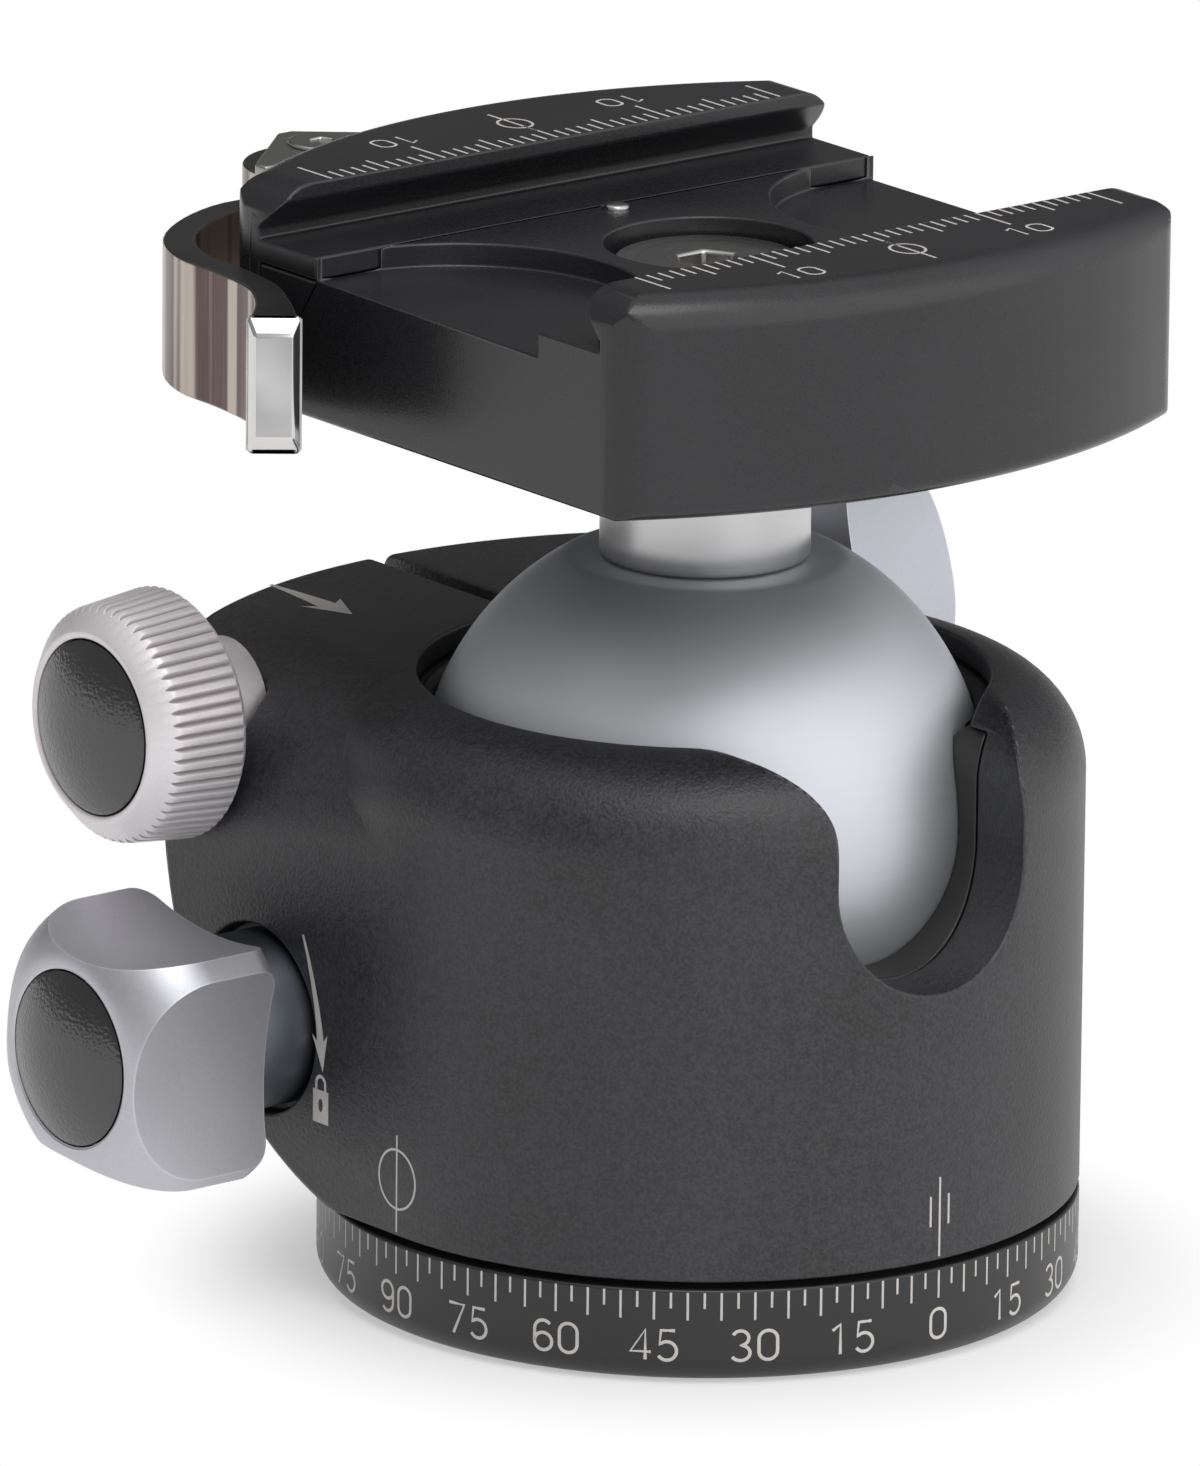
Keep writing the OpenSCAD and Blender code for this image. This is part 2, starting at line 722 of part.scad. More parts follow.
module pan_lock_cap() {
    color("#151515") along_x(-1, pan_lock_y, pan_lock_z) translate([0, 0, pan_front_x - cap_seat])
        domed_insert(cap_r);
}

// ---- quick-release clamp -------------------------------------------------

// Hole of the locating dowel, the same in the stem and in the clamp.
module dowel_cut() {
    translate([0, dowel_y, clamp_z - dowel_len / 2 - play])
        cylinder(r = dowel_r + running / 2, h = dowel_len + 2 * play, $fn = 32);
}

module stem() {
    color("#b9bcc0") difference() {
        rotate_extrude() {
            band(screw_r + running / 2, neck_r + bead_w, stem_foot_z + running, stem_foot_z + bead_h);
            band(screw_r + running / 2, neck_r, stem_foot_z + running, clamp_z);
            band(screw_r + running / 2, shank_r, stem_foot_z - shank_len / 4, clamp_z - cut);
            band(0, shank_r, stem_foot_z - shank_len, stem_foot_z - shank_len / 4);
        }
        dowel_cut();
    }
}

module stem_dowel() {
    color("silver") translate([0, dowel_y, clamp_z - dowel_len / 2])
        cylinder(r = dowel_r, h = dowel_len, $fn = 32);
}

// Half of the clamp's plan, from y = 0 to a bowed edge with rounded corners.
module bowed_half(reach, bow_r) {
    bow_y = reach - bow_r;
    corner_x = half_len - corner_r;
    corner_y = bow_y + sqrt(pow(bow_r - corner_r, 2) - pow(corner_x, 2));
    blend = atan2(corner_y - bow_y, corner_x);
    spread = 3 * corner_r;
    difference() {
        intersection() {
            translate([-half_len, 0]) square([clamp_len, reach]);
            translate([0, bow_y]) circle(bow_r, $fn = 240);
        }
        for (side = [0, 1]) mirror([side, 0]) translate([corner_x, corner_y]) difference() {
            polygon([[0, 0], [spread, 0], [spread, spread], [spread * cos(blend), spread * sin(blend)]]);
            circle(corner_r);
        }
    }
}

// Disc whose rounded rim gives a bowed face its soft top and bottom edges.
module soft_bow(reach, bow_r, z0) {
    translate([0, reach - bow_r, 0]) rotate_extrude($fn = 240) difference() {
        band(0, bow_r, z0, clamp_top);
        translate([bow_r - top_edge_r, clamp_top - top_edge_r]) corner_bite(top_edge_r);
        translate([bow_r - bottom_edge_r, z0 + bottom_edge_r]) rotate(-90) corner_bite(bottom_edge_r);
    }
}

// Clamp in end view, its long top edges rounded at the two ends of the channel.
module soft_ends(z0) {
    end_r = top_edge_r * 1.2;
    translate([0, far, 0]) rotate([90, 0, 0]) linear_extrude(2 * far) difference() {
        translate([-half_len, z0]) square([clamp_len, clamp_top - z0]);
        for (side = [0, 1]) mirror([side, 0]) {
            translate([half_len - end_r, clamp_top - end_r]) corner_bite(end_r);
            translate([half_len - bottom_edge_r / 2, z0 + bottom_edge_r / 2]) rotate(-90)
                corner_bite(bottom_edge_r / 2);
        }
    }
}

// Space of the dovetail channel in section, y across and z up.
module channel_section() {
    polygon([[-lip_y, clamp_top + cut], [-lip_y, clamp_top - lip_h],
        [-groove_y, clamp_top - lip_h - dovetail_d],
        [-groove_y, floor_z], [groove_y, floor_z], [groove_y, clamp_top - lip_h - dovetail_d],
        [lip_y, clamp_top - lip_h], [lip_y, clamp_top + cut]]);
}

module channel_cut() {
    rotate([90, 0, 90]) translate([0, 0, -far]) linear_extrude(2 * far) channel_section();
}

module at_guide_pins() {
    for (side = [-1, 1]) translate([side * pin_x, 0, pin_z]) rotate([-90, 0, 0]) children();
}

module at_draw_bolt() {
    translate([-pivot_x, 0, draw_z]) rotate([-90, 0, 0]) children();
}

module clamp_body() {
    color("#242428") difference() {
        intersection() {
            translate([0, 0, clamp_z]) linear_extrude(clamp_top - clamp_z) {
                mirror([0, 1]) bowed_half(front_reach, front_bow_r);
                translate([-half_len, 0]) square([clamp_len, split_y - jaw_gap]);
            }
            mirror([0, 1, 0]) soft_bow(front_reach, front_bow_r, clamp_z);
            soft_ends(clamp_z);
        }
        channel_cut();
        // ledge under the moving jaw's tongue
        translate([-far / 2, tongue_y - jaw_gap, relief_z]) cube([far, far, far]);
        for (side = [-1, 1]) translate([side * relief_x, 0, relief_z]) cylinder(r = relief_r, h = far);
        translate([0, 0, counterbore_z]) cylinder(r = counterbore_r, h = far);
        translate([0, 0, clamp_z - cut]) cylinder(r = screw_r + 0.15, h = far);
        dowel_cut();
        translate([stop_x, stop_y, floor_z - stop_depth - play])
            cylinder(r = stop_r + running / 2, h = far, $fn = 32);
        at_guide_pins() translate([0, 0, pin_root_y]) cylinder(r = pin_r + running / 2, h = far);
        at_draw_bolt() translate([0, 0, draw_root_y]) cylinder(r = draw_r + running / 2, h = far);
    }
}

module stop_pin() {
    color("#d8d8d8") translate([stop_x, stop_y, floor_z - stop_depth])
        cylinder(r = stop_r, h = stop_depth + 0.3, $fn = 32);
}

module clamp_screw() {
    head_z = counterbore_z;
    color("#c8c8c4") difference() {
        union() {
            translate([0, 0, head_z]) cylinder(r = screw_head_r, h = screw_head_h);
            translate([0, 0, stem_foot_z + 0.5]) cylinder(r = screw_r, h = head_z - stem_foot_z);
        }
        translate([0, 0, head_z + screw_head_h - 2]) cylinder(r = 2.3, h = 3, $fn = 6);
    }
}

module moving_jaw() {
    color("#222226") difference() {
        intersection() {
            union() {
                translate([0, 0, jaw_z]) linear_extrude(clamp_top - jaw_z) intersection() {
                    bowed_half(back_reach, back_bow_r);
                    translate([-half_len, split_y]) square([clamp_len, far]);
                }
                // lip and tongue in front of the split
                translate([-half_len, tongue_y, relief_z + play])
                    cube([clamp_len, split_y - tongue_y + cut, clamp_top - relief_z - play]);
            }
            soft_bow(back_reach, back_bow_r, jaw_z);
            soft_ends(jaw_z);
        }
        channel_cut();
        translate([-pivot_x - recess_half, cam_face_y - cam_plate_t, jaw_z - cut])
            cube([2 * recess_half, far, recess_top - jaw_z + cut]);
        at_guide_pins() {
            translate([0, 0, split_y - cut])
                cylinder(r = pin_r + running, h = pin_tip_y + 0.6 - split_y + cut);
            translate([0, 0, split_y - cut]) cylinder(r = spring_r + 0.2, h = spring_len + cut + running);
        }
        at_draw_bolt() cylinder(r = draw_r + 0.2, h = far);
    }
}

module cam_plate() {
    color("#9a9a98") difference() {
        translate([-pivot_x - recess_half + 0.4, cam_face_y - cam_plate_t, jaw_z + 0.3])
            cube([2 * recess_half - 0.8, cam_plate_t, recess_top - jaw_z - 0.4]);
        at_draw_bolt() cylinder(r = draw_r + 0.2, h = far);
    }
}

module jaw_guide_pins() {
    color("silver") at_guide_pins() translate([0, 0, pin_root_y])
        cylinder(r = pin_r, h = pin_tip_y - pin_root_y);
}

// Round wire wound round z, one ring of wire_n points at each step of the helix.
module coil(mean_r, wire_r, height, turns) {
    steps = 14;
    wire_n = 6;
    count = round(turns * steps);
    ring = [for (i = [0 : count]) for (j = [0 : wire_n - 1])
        let (a = 360 * i / steps, b = 360 * j / wire_n, r = mean_r + wire_r * cos(b))
        [r * cos(a), r * sin(a), height * i / count + wire_r * sin(b)]];
    sides = [for (i = [0 : count - 1]) for (j = [0 : wire_n - 1])
        let (k = (j + 1) % wire_n)
        [i * wire_n + j, i * wire_n + k, (i + 1) * wire_n + k, (i + 1) * wire_n + j]];
    first = [for (j = [0 : wire_n - 1]) wire_n - 1 - j];
    last = [for (j = [0 : wire_n - 1]) count * wire_n + j];
    polyhedron(ring, concat([first], sides, [last]), convexity = 8);
}

module jaw_springs() {
    wire_r = 0.3;
    color("silver") at_guide_pins() translate([0, 0, split_y + wire_r])
        coil(spring_r - wire_r, wire_r, spring_len - 2 * wire_r - running, 3);
}

module draw_bolt() {
    color("#b5b5b0") difference() {
        union() {
            at_draw_bolt() translate([0, 0, draw_root_y]) cylinder(r = draw_r, h = pivot_y - draw_root_y);
            translate([-pivot_x, pivot_y, draw_z - eye_h / 2]) cylinder(r = eye_r, h = eye_h);
        }
        translate([-pivot_x, pivot_y, draw_z - eye_h]) cylinder(r = pivot_r + running, h = 2 * eye_h);
    }
}

// ---- lever ---------------------------------------------------------------

// Middle line of the strap in plan, from the pivot round the clamp's corner to the tip.
strap_line = concat(
    [for (p = [[2.5, 1.2], [6.5, 1.7]]) [-pivot_x - p[0], pivot_y + p[1]]],
    [for (p = [[-3.8, -1.6], [0.2, 1.6], [2.5, 6.1], [2.9, 11.1], [3.7, 15.8], [5.8, 19.8], [8.6, 23.6]])
        [-half_len - p[0], back_reach - p[1]]]);

// Point on a smooth curve through four neighbours, t from 0 to 1 between b and c.
function smooth(a, b, c, d, t) = 0.5 * (2 * b + (c - a) * t + (2 * a - 5 * b + 4 * c - d) * t * t
    + (3 * b - a - 3 * c + d) * t * t * t);
function clamped(list, i) = list[max(0, min(len(list) - 1, i))];
function curve(list, steps) = [for (i = [0 : len(list) - 2]) for (s = [0 : steps - 1])
    smooth(clamped(list, i - 1), list[i], list[i + 1], clamped(list, i + 2), s / steps),
    list[len(list) - 1]];
function normal_at(list, i) = let (d = clamped(list, i + 1) - clamped(list, i - 1)) [-d[1], d[0]] / norm(d);
// Half thickness: the strap's own, thicker at the tip.
function half_t(u) = (strap_t + (tip_t - strap_t) * pow(max(0, (u - 0.8) / 0.2), 2)) / 2;

module strap_outline() {
    line = curve(strap_line, 4);
    n = len(line) - 1;
    left = [for (i = [0 : n]) line[i] + normal_at(line, i) * half_t(i / n)];
    right = [for (i = [n : -1 : 0]) line[i] - normal_at(line, i) * half_t(i / n)];
    polygon(concat(left, right));
}

// Cam in polar form about the pivot: a spiral that lets the jaw back evenly as the lever opens,
// then a nose that stays clear of the open jaw, and a round back.
function cam_radius(a) = a <= -90 + lever_swing ? cam_r - jaw_travel * (a + 90) / lever_swing
    : a <= 90 ? cam_r - jaw_travel
        + (jaw_travel + cam_nose) * pow((a + 90 - lever_swing) / (180 - lever_swing), 2)
    : cam_r + cam_nose * (1 - max(0, (a - 180) / 90));

module cam_outline() {
    translate([-pivot_x, pivot_y])
        polygon([for (a = [-90 : 5 : 265]) cam_radius(a) * [cos(a), sin(a)]]);
}

module lever() {
    color("#8d8a86") difference() {
        union() {
            translate([0, 0, strap_z]) linear_extrude(hub_z1 - strap_z) cam_outline();
            translate([0, 0, strap_z]) linear_extrude(strap_h) strap_outline();
        }
        // slot for the draw bolt's eye
        translate([-pivot_x - eye_r - 0.3, pivot_y - far / 2, draw_z - eye_h / 2 - play])
            cube([far, far, eye_h + 2 * play]);
        translate([-pivot_x, pivot_y, strap_z - cut]) cylinder(r = pivot_r + running, h = far);
    }
}

module lever_pivot() {
    color("#c8c8c4") translate([-pivot_x, pivot_y, 0]) difference() {
        union() {
            translate([0, 0, strap_z]) cylinder(r = pivot_r, h = plate_z + plate_t - strap_z);
            translate([0, 0, plate_z + plate_t]) cylinder(r = pivot_head_r, h = pivot_head_h);
        }
        translate([0, 0, plate_z + plate_t - socket_depth])
            cylinder(r = socket_r, h = far, $fn = 6);
    }
}

module lever_plate() {
    front_y = cam_face_y + jaw_travel + 0.4 - pivot_y;
    plate_peak = cam_r - 0.6;
    color("#a19e98") difference() {
        translate([0, 0, plate_z]) linear_extrude(plate_t) translate([-pivot_x, pivot_y])
            polygon([[-plate_half, front_y], [-plate_half, -cam_r / 3], [-cam_nose, plate_peak],
                [cam_nose, plate_peak], [plate_half, -cam_r / 5], [plate_half, front_y]]);
        translate([-pivot_x, pivot_y, plate_z - cut]) cylinder(r = pivot_r + running / 2, h = far);
    }
}

// ---- assembly ------------------------------------------------------------

pan_base();
thread_insert();
thrust_washer();
pan_bushing();
hub_snap_ring();
housing();
socket_liner();
ball_seat();
ball();
clamp_bolt();
main_thrust_washer();
main_knob();
main_knob_screw();
main_knob_cap();
friction_collar();
friction_knob();
friction_knob_screw();
friction_cap();
pan_lock_collar();
pan_lock_screw();
pan_lock_shoe();
pan_lock_knob();
pan_knob_screw();
pan_lock_cap();
stem();
stem_dowel();
clamp_body();
clamp_screw();
stop_pin();
moving_jaw();
cam_plate();
jaw_guide_pins();
jaw_springs();
draw_bolt();
lever();
lever_pivot();
lever_plate();
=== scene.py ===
import json
import math

import bpy
from mathutils import Matrix, Vector

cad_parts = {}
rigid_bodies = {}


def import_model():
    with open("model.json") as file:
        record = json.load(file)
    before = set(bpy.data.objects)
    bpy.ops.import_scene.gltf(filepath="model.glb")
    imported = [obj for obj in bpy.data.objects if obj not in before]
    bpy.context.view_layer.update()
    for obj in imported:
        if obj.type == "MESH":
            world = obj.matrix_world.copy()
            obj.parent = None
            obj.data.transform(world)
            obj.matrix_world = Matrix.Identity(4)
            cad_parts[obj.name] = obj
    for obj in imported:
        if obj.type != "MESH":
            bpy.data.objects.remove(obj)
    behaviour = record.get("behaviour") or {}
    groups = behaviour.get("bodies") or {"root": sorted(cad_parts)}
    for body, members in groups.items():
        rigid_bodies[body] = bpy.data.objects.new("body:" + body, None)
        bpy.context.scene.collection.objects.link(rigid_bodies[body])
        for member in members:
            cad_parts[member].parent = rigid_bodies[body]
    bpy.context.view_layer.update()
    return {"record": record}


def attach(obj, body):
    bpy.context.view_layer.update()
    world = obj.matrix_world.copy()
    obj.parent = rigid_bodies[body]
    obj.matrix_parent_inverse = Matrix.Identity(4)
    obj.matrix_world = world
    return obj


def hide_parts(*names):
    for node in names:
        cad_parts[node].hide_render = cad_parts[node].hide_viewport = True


MM = 0.001
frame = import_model()

# Sizes of the head in millimetres, the same as in its construction.
BODY_R = 26.9
BODY_TOP = 44.1
BALL_R = 20.0
BALL_Z = 35.0
STEM_FOOT = 52.5
NECK_R = 7.4
CLAMP_Z = 63.2
CLAMP_TOP = 79.0
LIP_Y = 16.9
TONGUE_CORNER = (24.8, 12.3, 74.9)
BOLT_Y, BOLT_Z = 25.4, 39.8
PAN_Y, PAN_Z = 16.3, 19.4
PAN_BACK, PAN_FRONT = 31.7, 43.3
FRICTION_BACK, FRICTION_FRONT = 27.2, 34.6
LOCK_BACK, LOCK_FRONT = 27.3, 36.5
CAP_R = 6.2
LOCK_CAP_R = 7.0
CAP_SEAT = 1.2
KNOB_RIM = 0.7
PAN_BORE, FRICTION_BORE, LOCK_BORE = 2.45, 1.95, 2.55
TIP = (-33.4, 6.0)
BEFORE_TIP = (-30.6, 9.8)


# ---- tools for modelling ---------------------------------------------------

def deselect():
    """Leaves edit mode, selects nothing and goes back to picking vertices."""
    if bpy.context.object and bpy.context.object.mode != "OBJECT":
        bpy.ops.object.mode_set(mode="OBJECT")
    bpy.context.tool_settings.mesh_select_mode = (True, False, False)
    bpy.ops.object.select_all(action="DESELECT")


def only(piece):
    deselect()
    piece.select_set(True)
    bpy.context.view_layer.objects.active = piece


def smooth(piece, degrees=35):
    only(piece)
    bpy.ops.object.shade_smooth_by_angle(angle=math.radians(degrees))


def settle(piece):
    """Puts the piece's place and turn into its mesh."""
    only(piece)
    bpy.ops.object.transform_apply(location=True, rotation=True, scale=True)


def even_normals(piece):
    """Keeps broad faces flat beside their softened edges."""
    only(piece)
    piece.modifiers.new("even", "WEIGHTED_NORMAL").keep_sharp = True
    bpy.ops.object.modifier_apply(modifier="even")


def dress(piece, name, body, slot, material, *nodes):
    """Gives a finished piece its name, body and material, and hides the nodes it stands for. slot is
    not used.
    """
    piece.name = name
    piece.data.name = name
    piece.data.materials.clear()
    piece.data.materials.append(material)
    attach(piece, body)
    if nodes:
        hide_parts(*nodes)
    return piece


def round_edges(piece, edge, limit=32, segments=3, spare=()):
    """Rounds the edges sharper than limit degrees by edge millimetres, and keeps flat faces flat.
    Edges that end within a millimetre of a point of spare stay sharp."""
    only(piece)
    bpy.ops.object.mode_set(mode="EDIT")
    bpy.ops.mesh.select_mode(type="EDGE")
    bpy.ops.mesh.select_all(action="DESELECT")
    bpy.ops.mesh.edges_select_sharp(sharpness=math.radians(limit))
    bpy.ops.object.mode_set(mode="OBJECT")
    corners = [Vector(point) * MM for point in spare]
    weights = piece.data.attributes.new("bevel_weight_edge", "FLOAT", "EDGE")
    for line in piece.data.edges:
        ends = [piece.data.vertices[index].co for index in line.vertices]
        near = any((end - corner).length < MM for end in ends for corner in corners)
        weights.data[line.index].value = 1.0 if line.select and not near else 0.0
    bevel = piece.modifiers.new("edge", "BEVEL")
    bevel.width = edge * MM
    bevel.segments = segments
    bevel.limit_method = "WEIGHT"
    bevel.use_clamp_overlap = False
    bevel.loop_slide = False
    only(piece)
    bpy.ops.object.modifier_apply(modifier="edge")
    smooth(piece, limit)
    even_normals(piece)


def merge(piece, gap=0.02):
    only(piece)
    bpy.ops.object.mode_set(mode="EDIT")
    bpy.ops.mesh.select_all(action="SELECT")
    bpy.ops.mesh.remove_doubles(threshold=gap * MM)
    bpy.ops.object.mode_set(mode="OBJECT")


def copied(node_name, name):
    """Copy of a CAD piece with its corners merged."""
    only(bpy.data.objects[node_name])
    bpy.ops.object.duplicate()
    piece = bpy.context.object
    piece.name = name
    bpy.ops.mesh.customdata_custom_splitnormals_clear()
    merge(piece)
    return piece


def carve(piece, cutter):
    """Takes the cutter's shape out of the piece and deletes the cutter."""
    cut = piece.modifiers.new("cut", "BOOLEAN")
    cut.operation = "DIFFERENCE"
    cut.solver = "EXACT"
    cut.object = cutter
    only(piece)
    bpy.ops.object.modifier_apply(modifier="cut")
    bpy.data.objects.remove(cutter)


def select_rims():
    """Selects the open rims of the mesh in edit mode."""
    bpy.ops.mesh.select_all(action="DESELECT")
    bpy.ops.mesh.select_non_manifold(extend=False, use_boundary=True, use_wire=False,
                                     use_multi_face=False, use_non_contiguous=False, use_verts=False)


def turned(profile, steps=128, closed=False):
    """Turned piece round +Z: a ring of edges extruded and resized through (radius, height) points."""
    deselect()
    radius, height = profile[0]
    bpy.ops.mesh.primitive_circle_add(vertices=steps, radius=radius * MM, fill_type="NOTHING")
    piece = bpy.context.object
    bpy.ops.object.mode_set(mode="EDIT")
    bpy.ops.mesh.select_all(action="SELECT")
    bpy.ops.transform.translate(value=(0, 0, height * MM))
    for next_radius, next_height in profile[1:]:
        rise = (0, 0, (next_height - height) * MM)
        bpy.ops.mesh.extrude_region_move(TRANSFORM_OT_translate={"value": rise})
        grow = next_radius / radius
        bpy.ops.transform.resize(value=(grow, grow, 1), center_override=(0, 0, 0))
        radius, height = next_radius, next_height
    select_rims()
    if closed:
        bpy.ops.mesh.bridge_edge_loops()
    else:
        bpy.ops.mesh.edge_face_add()
    bpy.ops.mesh.select_all(action="SELECT")
    bpy.ops.mesh.normals_make_consistent(inside=False)
    bpy.ops.object.mode_set(mode="OBJECT")
    return piece


def along_x(piece, side, y, z):
    """Turns a piece drawn along +Z to point along +X or -X at a knob's axis."""
    piece.matrix_world = Matrix.Translation((0, y * MM, z * MM)) @ Matrix.Rotation(
        side * math.pi / 2, 4, "Y")
    settle(piece)
    return piece


def arc(cx, cy, radius, start, end, steps, ry=None):
    """Points on an arc, angles in degrees."""
    ry = radius if ry is None else ry
    angles = [math.radians(start + (end - start) * i / steps) for i in range(steps + 1)]
    return [(cx + radius * math.cos(a), cy + ry * math.sin(a)) for a in angles]


# ---- node groups -----------------------------------------------------------

def group(name, inputs, outputs):
    """Empty node group with named sockets: returns the tree and its input and output nodes."""
    tree = bpy.data.node_groups.new(name, "ShaderNodeTree")
    for label, kind, value in inputs:
        socket = tree.interface.new_socket(name=label, in_out="INPUT", socket_type=kind)
        if value is not None:
            socket.default_value = value
    for label in outputs:
        tree.interface.new_socket(name=label, in_out="OUTPUT", socket_type="NodeSocketFloat")
    return tree, tree.nodes.new("NodeGroupInput"), tree.nodes.new("NodeGroupOutput")


def node(tree, kind, values=(), **settings):
    """New node with its settings, and its inputs given as (socket, value or other socket) pairs."""
    made = tree.nodes.new(kind)
    for key, value in settings.items():
        setattr(made, key, value)
    for socket, value in values:
        if isinstance(value, bpy.types.NodeSocket):
            tree.links.new(value, made.inputs[socket])
        else:
            made.inputs[socket].default_value = value
    return made


def math_node(tree, operation, *values):
    return node(tree, "ShaderNodeMath", list(enumerate(values)), operation=operation).outputs[0]


VECTOR = ("Vector", "NodeSocketVector", None)


def make_grain():
    """Fine blasted grain: Size is the width of a grain."""
    tree, start, end = group("blasted_grain", [VECTOR, ("Size", "NodeSocketFloat", 0.00015)],
                             ["Height", "Tone"])
    scale = math_node(tree, "DIVIDE", 1.0, start.outputs["Size"])
    fine = node(tree, "ShaderNodeTexNoise", [("Vector", start.outputs["Vector"]), ("Scale", scale),
                                             ("Detail", 2.0), ("Roughness", 0.6)])
    wide = math_node(tree, "MULTIPLY", scale, 0.35)
    broad = node(tree, "ShaderNodeTexNoise", [("Vector", start.outputs["Vector"]), ("Scale", wide),
                                              ("Detail", 2.0)])
    both = math_node(tree, "MULTIPLY_ADD", broad.outputs["Fac"], 0.35, -0.175)
    mottled = math_node(tree, "ADD", fine.outputs["Fac"], both)
    speckle = node(tree, "ShaderNodeMapRange", [("Value", mottled), ("From Min", 0.36),
                                                ("From Max", 0.64)])
    tree.links.new(fine.outputs["Fac"], end.inputs["Height"])
    tree.links.new(speckle.outputs["Result"], end.inputs["Tone"])
    return tree


def make_cloud():
    """Slow change of tone over a surface: Size is the width of a patch."""
    tree, start, end = group("slow_tone", [VECTOR, ("Size", "NodeSocketFloat", 0.012)], ["Tone"])
    scale = math_node(tree, "DIVIDE", 1.0, start.outputs["Size"])
    noise = node(tree, "ShaderNodeTexNoise", [("Vector", start.outputs["Vector"]), ("Scale", scale),
                                              ("Detail", 3.0), ("Roughness", 0.45)])
    span = node(tree, "ShaderNodeMapRange", [("Value", noise.outputs["Fac"]), ("From Min", 0.3),
                                             ("From Max", 0.7)])
    tree.links.new(span.outputs["Result"], end.inputs["Tone"])
    return tree


def make_turned():
    """Marks of a lathe round Z: Pitch is the width of a ring."""
    tree, start, end = group("lathe_rings", [VECTOR, ("Pitch", "NodeSocketFloat", 0.0001)],
                             ["Height", "Tone"])
    parts = node(tree, "ShaderNodeSeparateXYZ", [(0, start.outputs["Vector"])])
    flat = node(tree, "ShaderNodeCombineXYZ", [(0, parts.outputs[0]), (1, parts.outputs[1])])
    radius = node(tree, "ShaderNodeVectorMath", [(0, flat.outputs[0])], operation="LENGTH")
    path = math_node(tree, "ADD", radius.outputs["Value"], parts.outputs[2])
    turns = math_node(tree, "DIVIDE", path, start.outputs["Pitch"])
    fine = node(tree, "ShaderNodeTexNoise", [("W", turns), ("Scale", 1.0), ("Detail", 1.0)],
                noise_dimensions="1D")
    slow = math_node(tree, "MULTIPLY", turns, 0.12)
    broad = node(tree, "ShaderNodeTexNoise", [("W", slow), ("Scale", 1.0), ("Detail", 2.0)],
                 noise_dimensions="1D")
    tree.links.new(fine.outputs["Fac"], end.inputs["Height"])
    tree.links.new(broad.outputs["Fac"], end.inputs["Tone"])
    return tree


def make_brushed():
    """Brush lines along X of the vector: Width is the width of a line."""
    tree, start, end = group("brush_lines", [VECTOR, ("Width", "NodeSocketFloat", 0.00012)],
                             ["Height", "Tone"])
    scale = math_node(tree, "DIVIDE", 1.0, start.outputs["Width"])
    drawn = node(tree, "ShaderNodeVectorMath", [(0, start.outputs["Vector"]), (1, (0.02, 1, 1))],
                 operation="MULTIPLY")
    fine = node(tree, "ShaderNodeTexNoise", [("Vector", drawn.outputs[0]), ("Scale", scale),
                                             ("Detail", 2.0)])
    wide = math_node(tree, "MULTIPLY", scale, 0.08)
    broad = node(tree, "ShaderNodeTexNoise", [("Vector", drawn.outputs[0]), ("Scale", wide),
                                              ("Detail", 1.0)])
    tree.links.new(fine.outputs["Fac"], end.inputs["Height"])
    tree.links.new(broad.outputs["Fac"], end.inputs["Tone"])
    return tree


def make_bands():
    """Painted reflection bands standing upright, and fine drawn lines, along a bent strip: Width is
    the width of a band.
    """
    tree, start, end = group("painted_reflection_bands", [VECTOR, ("Width", "NodeSocketFloat", 0.0016)],
                             ["Height", "Tone"])
    scale = math_node(tree, "DIVIDE", 1.0, start.outputs["Width"])
    drawn = node(tree, "ShaderNodeVectorMath", [(0, start.outputs["Vector"]), (1, (1, 1, 0.015))],
                 operation="MULTIPLY")
    wide = node(tree, "ShaderNodeTexNoise", [("Vector", drawn.outputs[0]), ("Scale", scale),
                                             ("Detail", 1.0), ("Roughness", 0.6)])
    thin = node(tree, "ShaderNodeTexNoise", [("Vector", drawn.outputs[0]),
                                             ("Scale", math_node(tree, "MULTIPLY", scale, 16.0)),
                                             ("Detail", 1.0)])
    # The upright bands are a painted reflection.
    band = node(tree, "ShaderNodeMapRange", [("Value", wide.outputs["Fac"]), ("From Min", 0.42),
                                             ("From Max", 0.56)], interpolation_type="SMOOTHSTEP")
    streak = math_node(tree, "MULTIPLY_ADD", thin.outputs["Fac"], 0.36, -0.18)
    tone = node(tree, "ShaderNodeMath", [(0, band.outputs["Result"]), (1, streak)], operation="ADD",
                use_clamp=True)
    tree.links.new(thin.outputs["Fac"], end.inputs["Height"])
    tree.links.new(tone.outputs[0], end.inputs["Tone"])
    return tree


def make_pebble():
    """Moulded pebble grain: Size is the width of a pebble."""
    tree, start, end = group("pebble_grain", [VECTOR, ("Size", "NodeSocketFloat", 0.00035)],
                             ["Height", "Tone"])
    scale = math_node(tree, "DIVIDE", 1.0, start.outputs["Size"])
    cells = node(tree, "ShaderNodeTexVoronoi", [("Vector", start.outputs["Vector"]), ("Scale", scale),
                                                ("Smoothness", 0.7)], feature="SMOOTH_F1")
    dome = math_node(tree, "SUBTRACT", 1.0, cells.outputs["Distance"])
    tree.links.new(dome, end.inputs["Height"])
    tree.links.new(cells.outputs["Distance"], end.inputs["Tone"])
    return tree


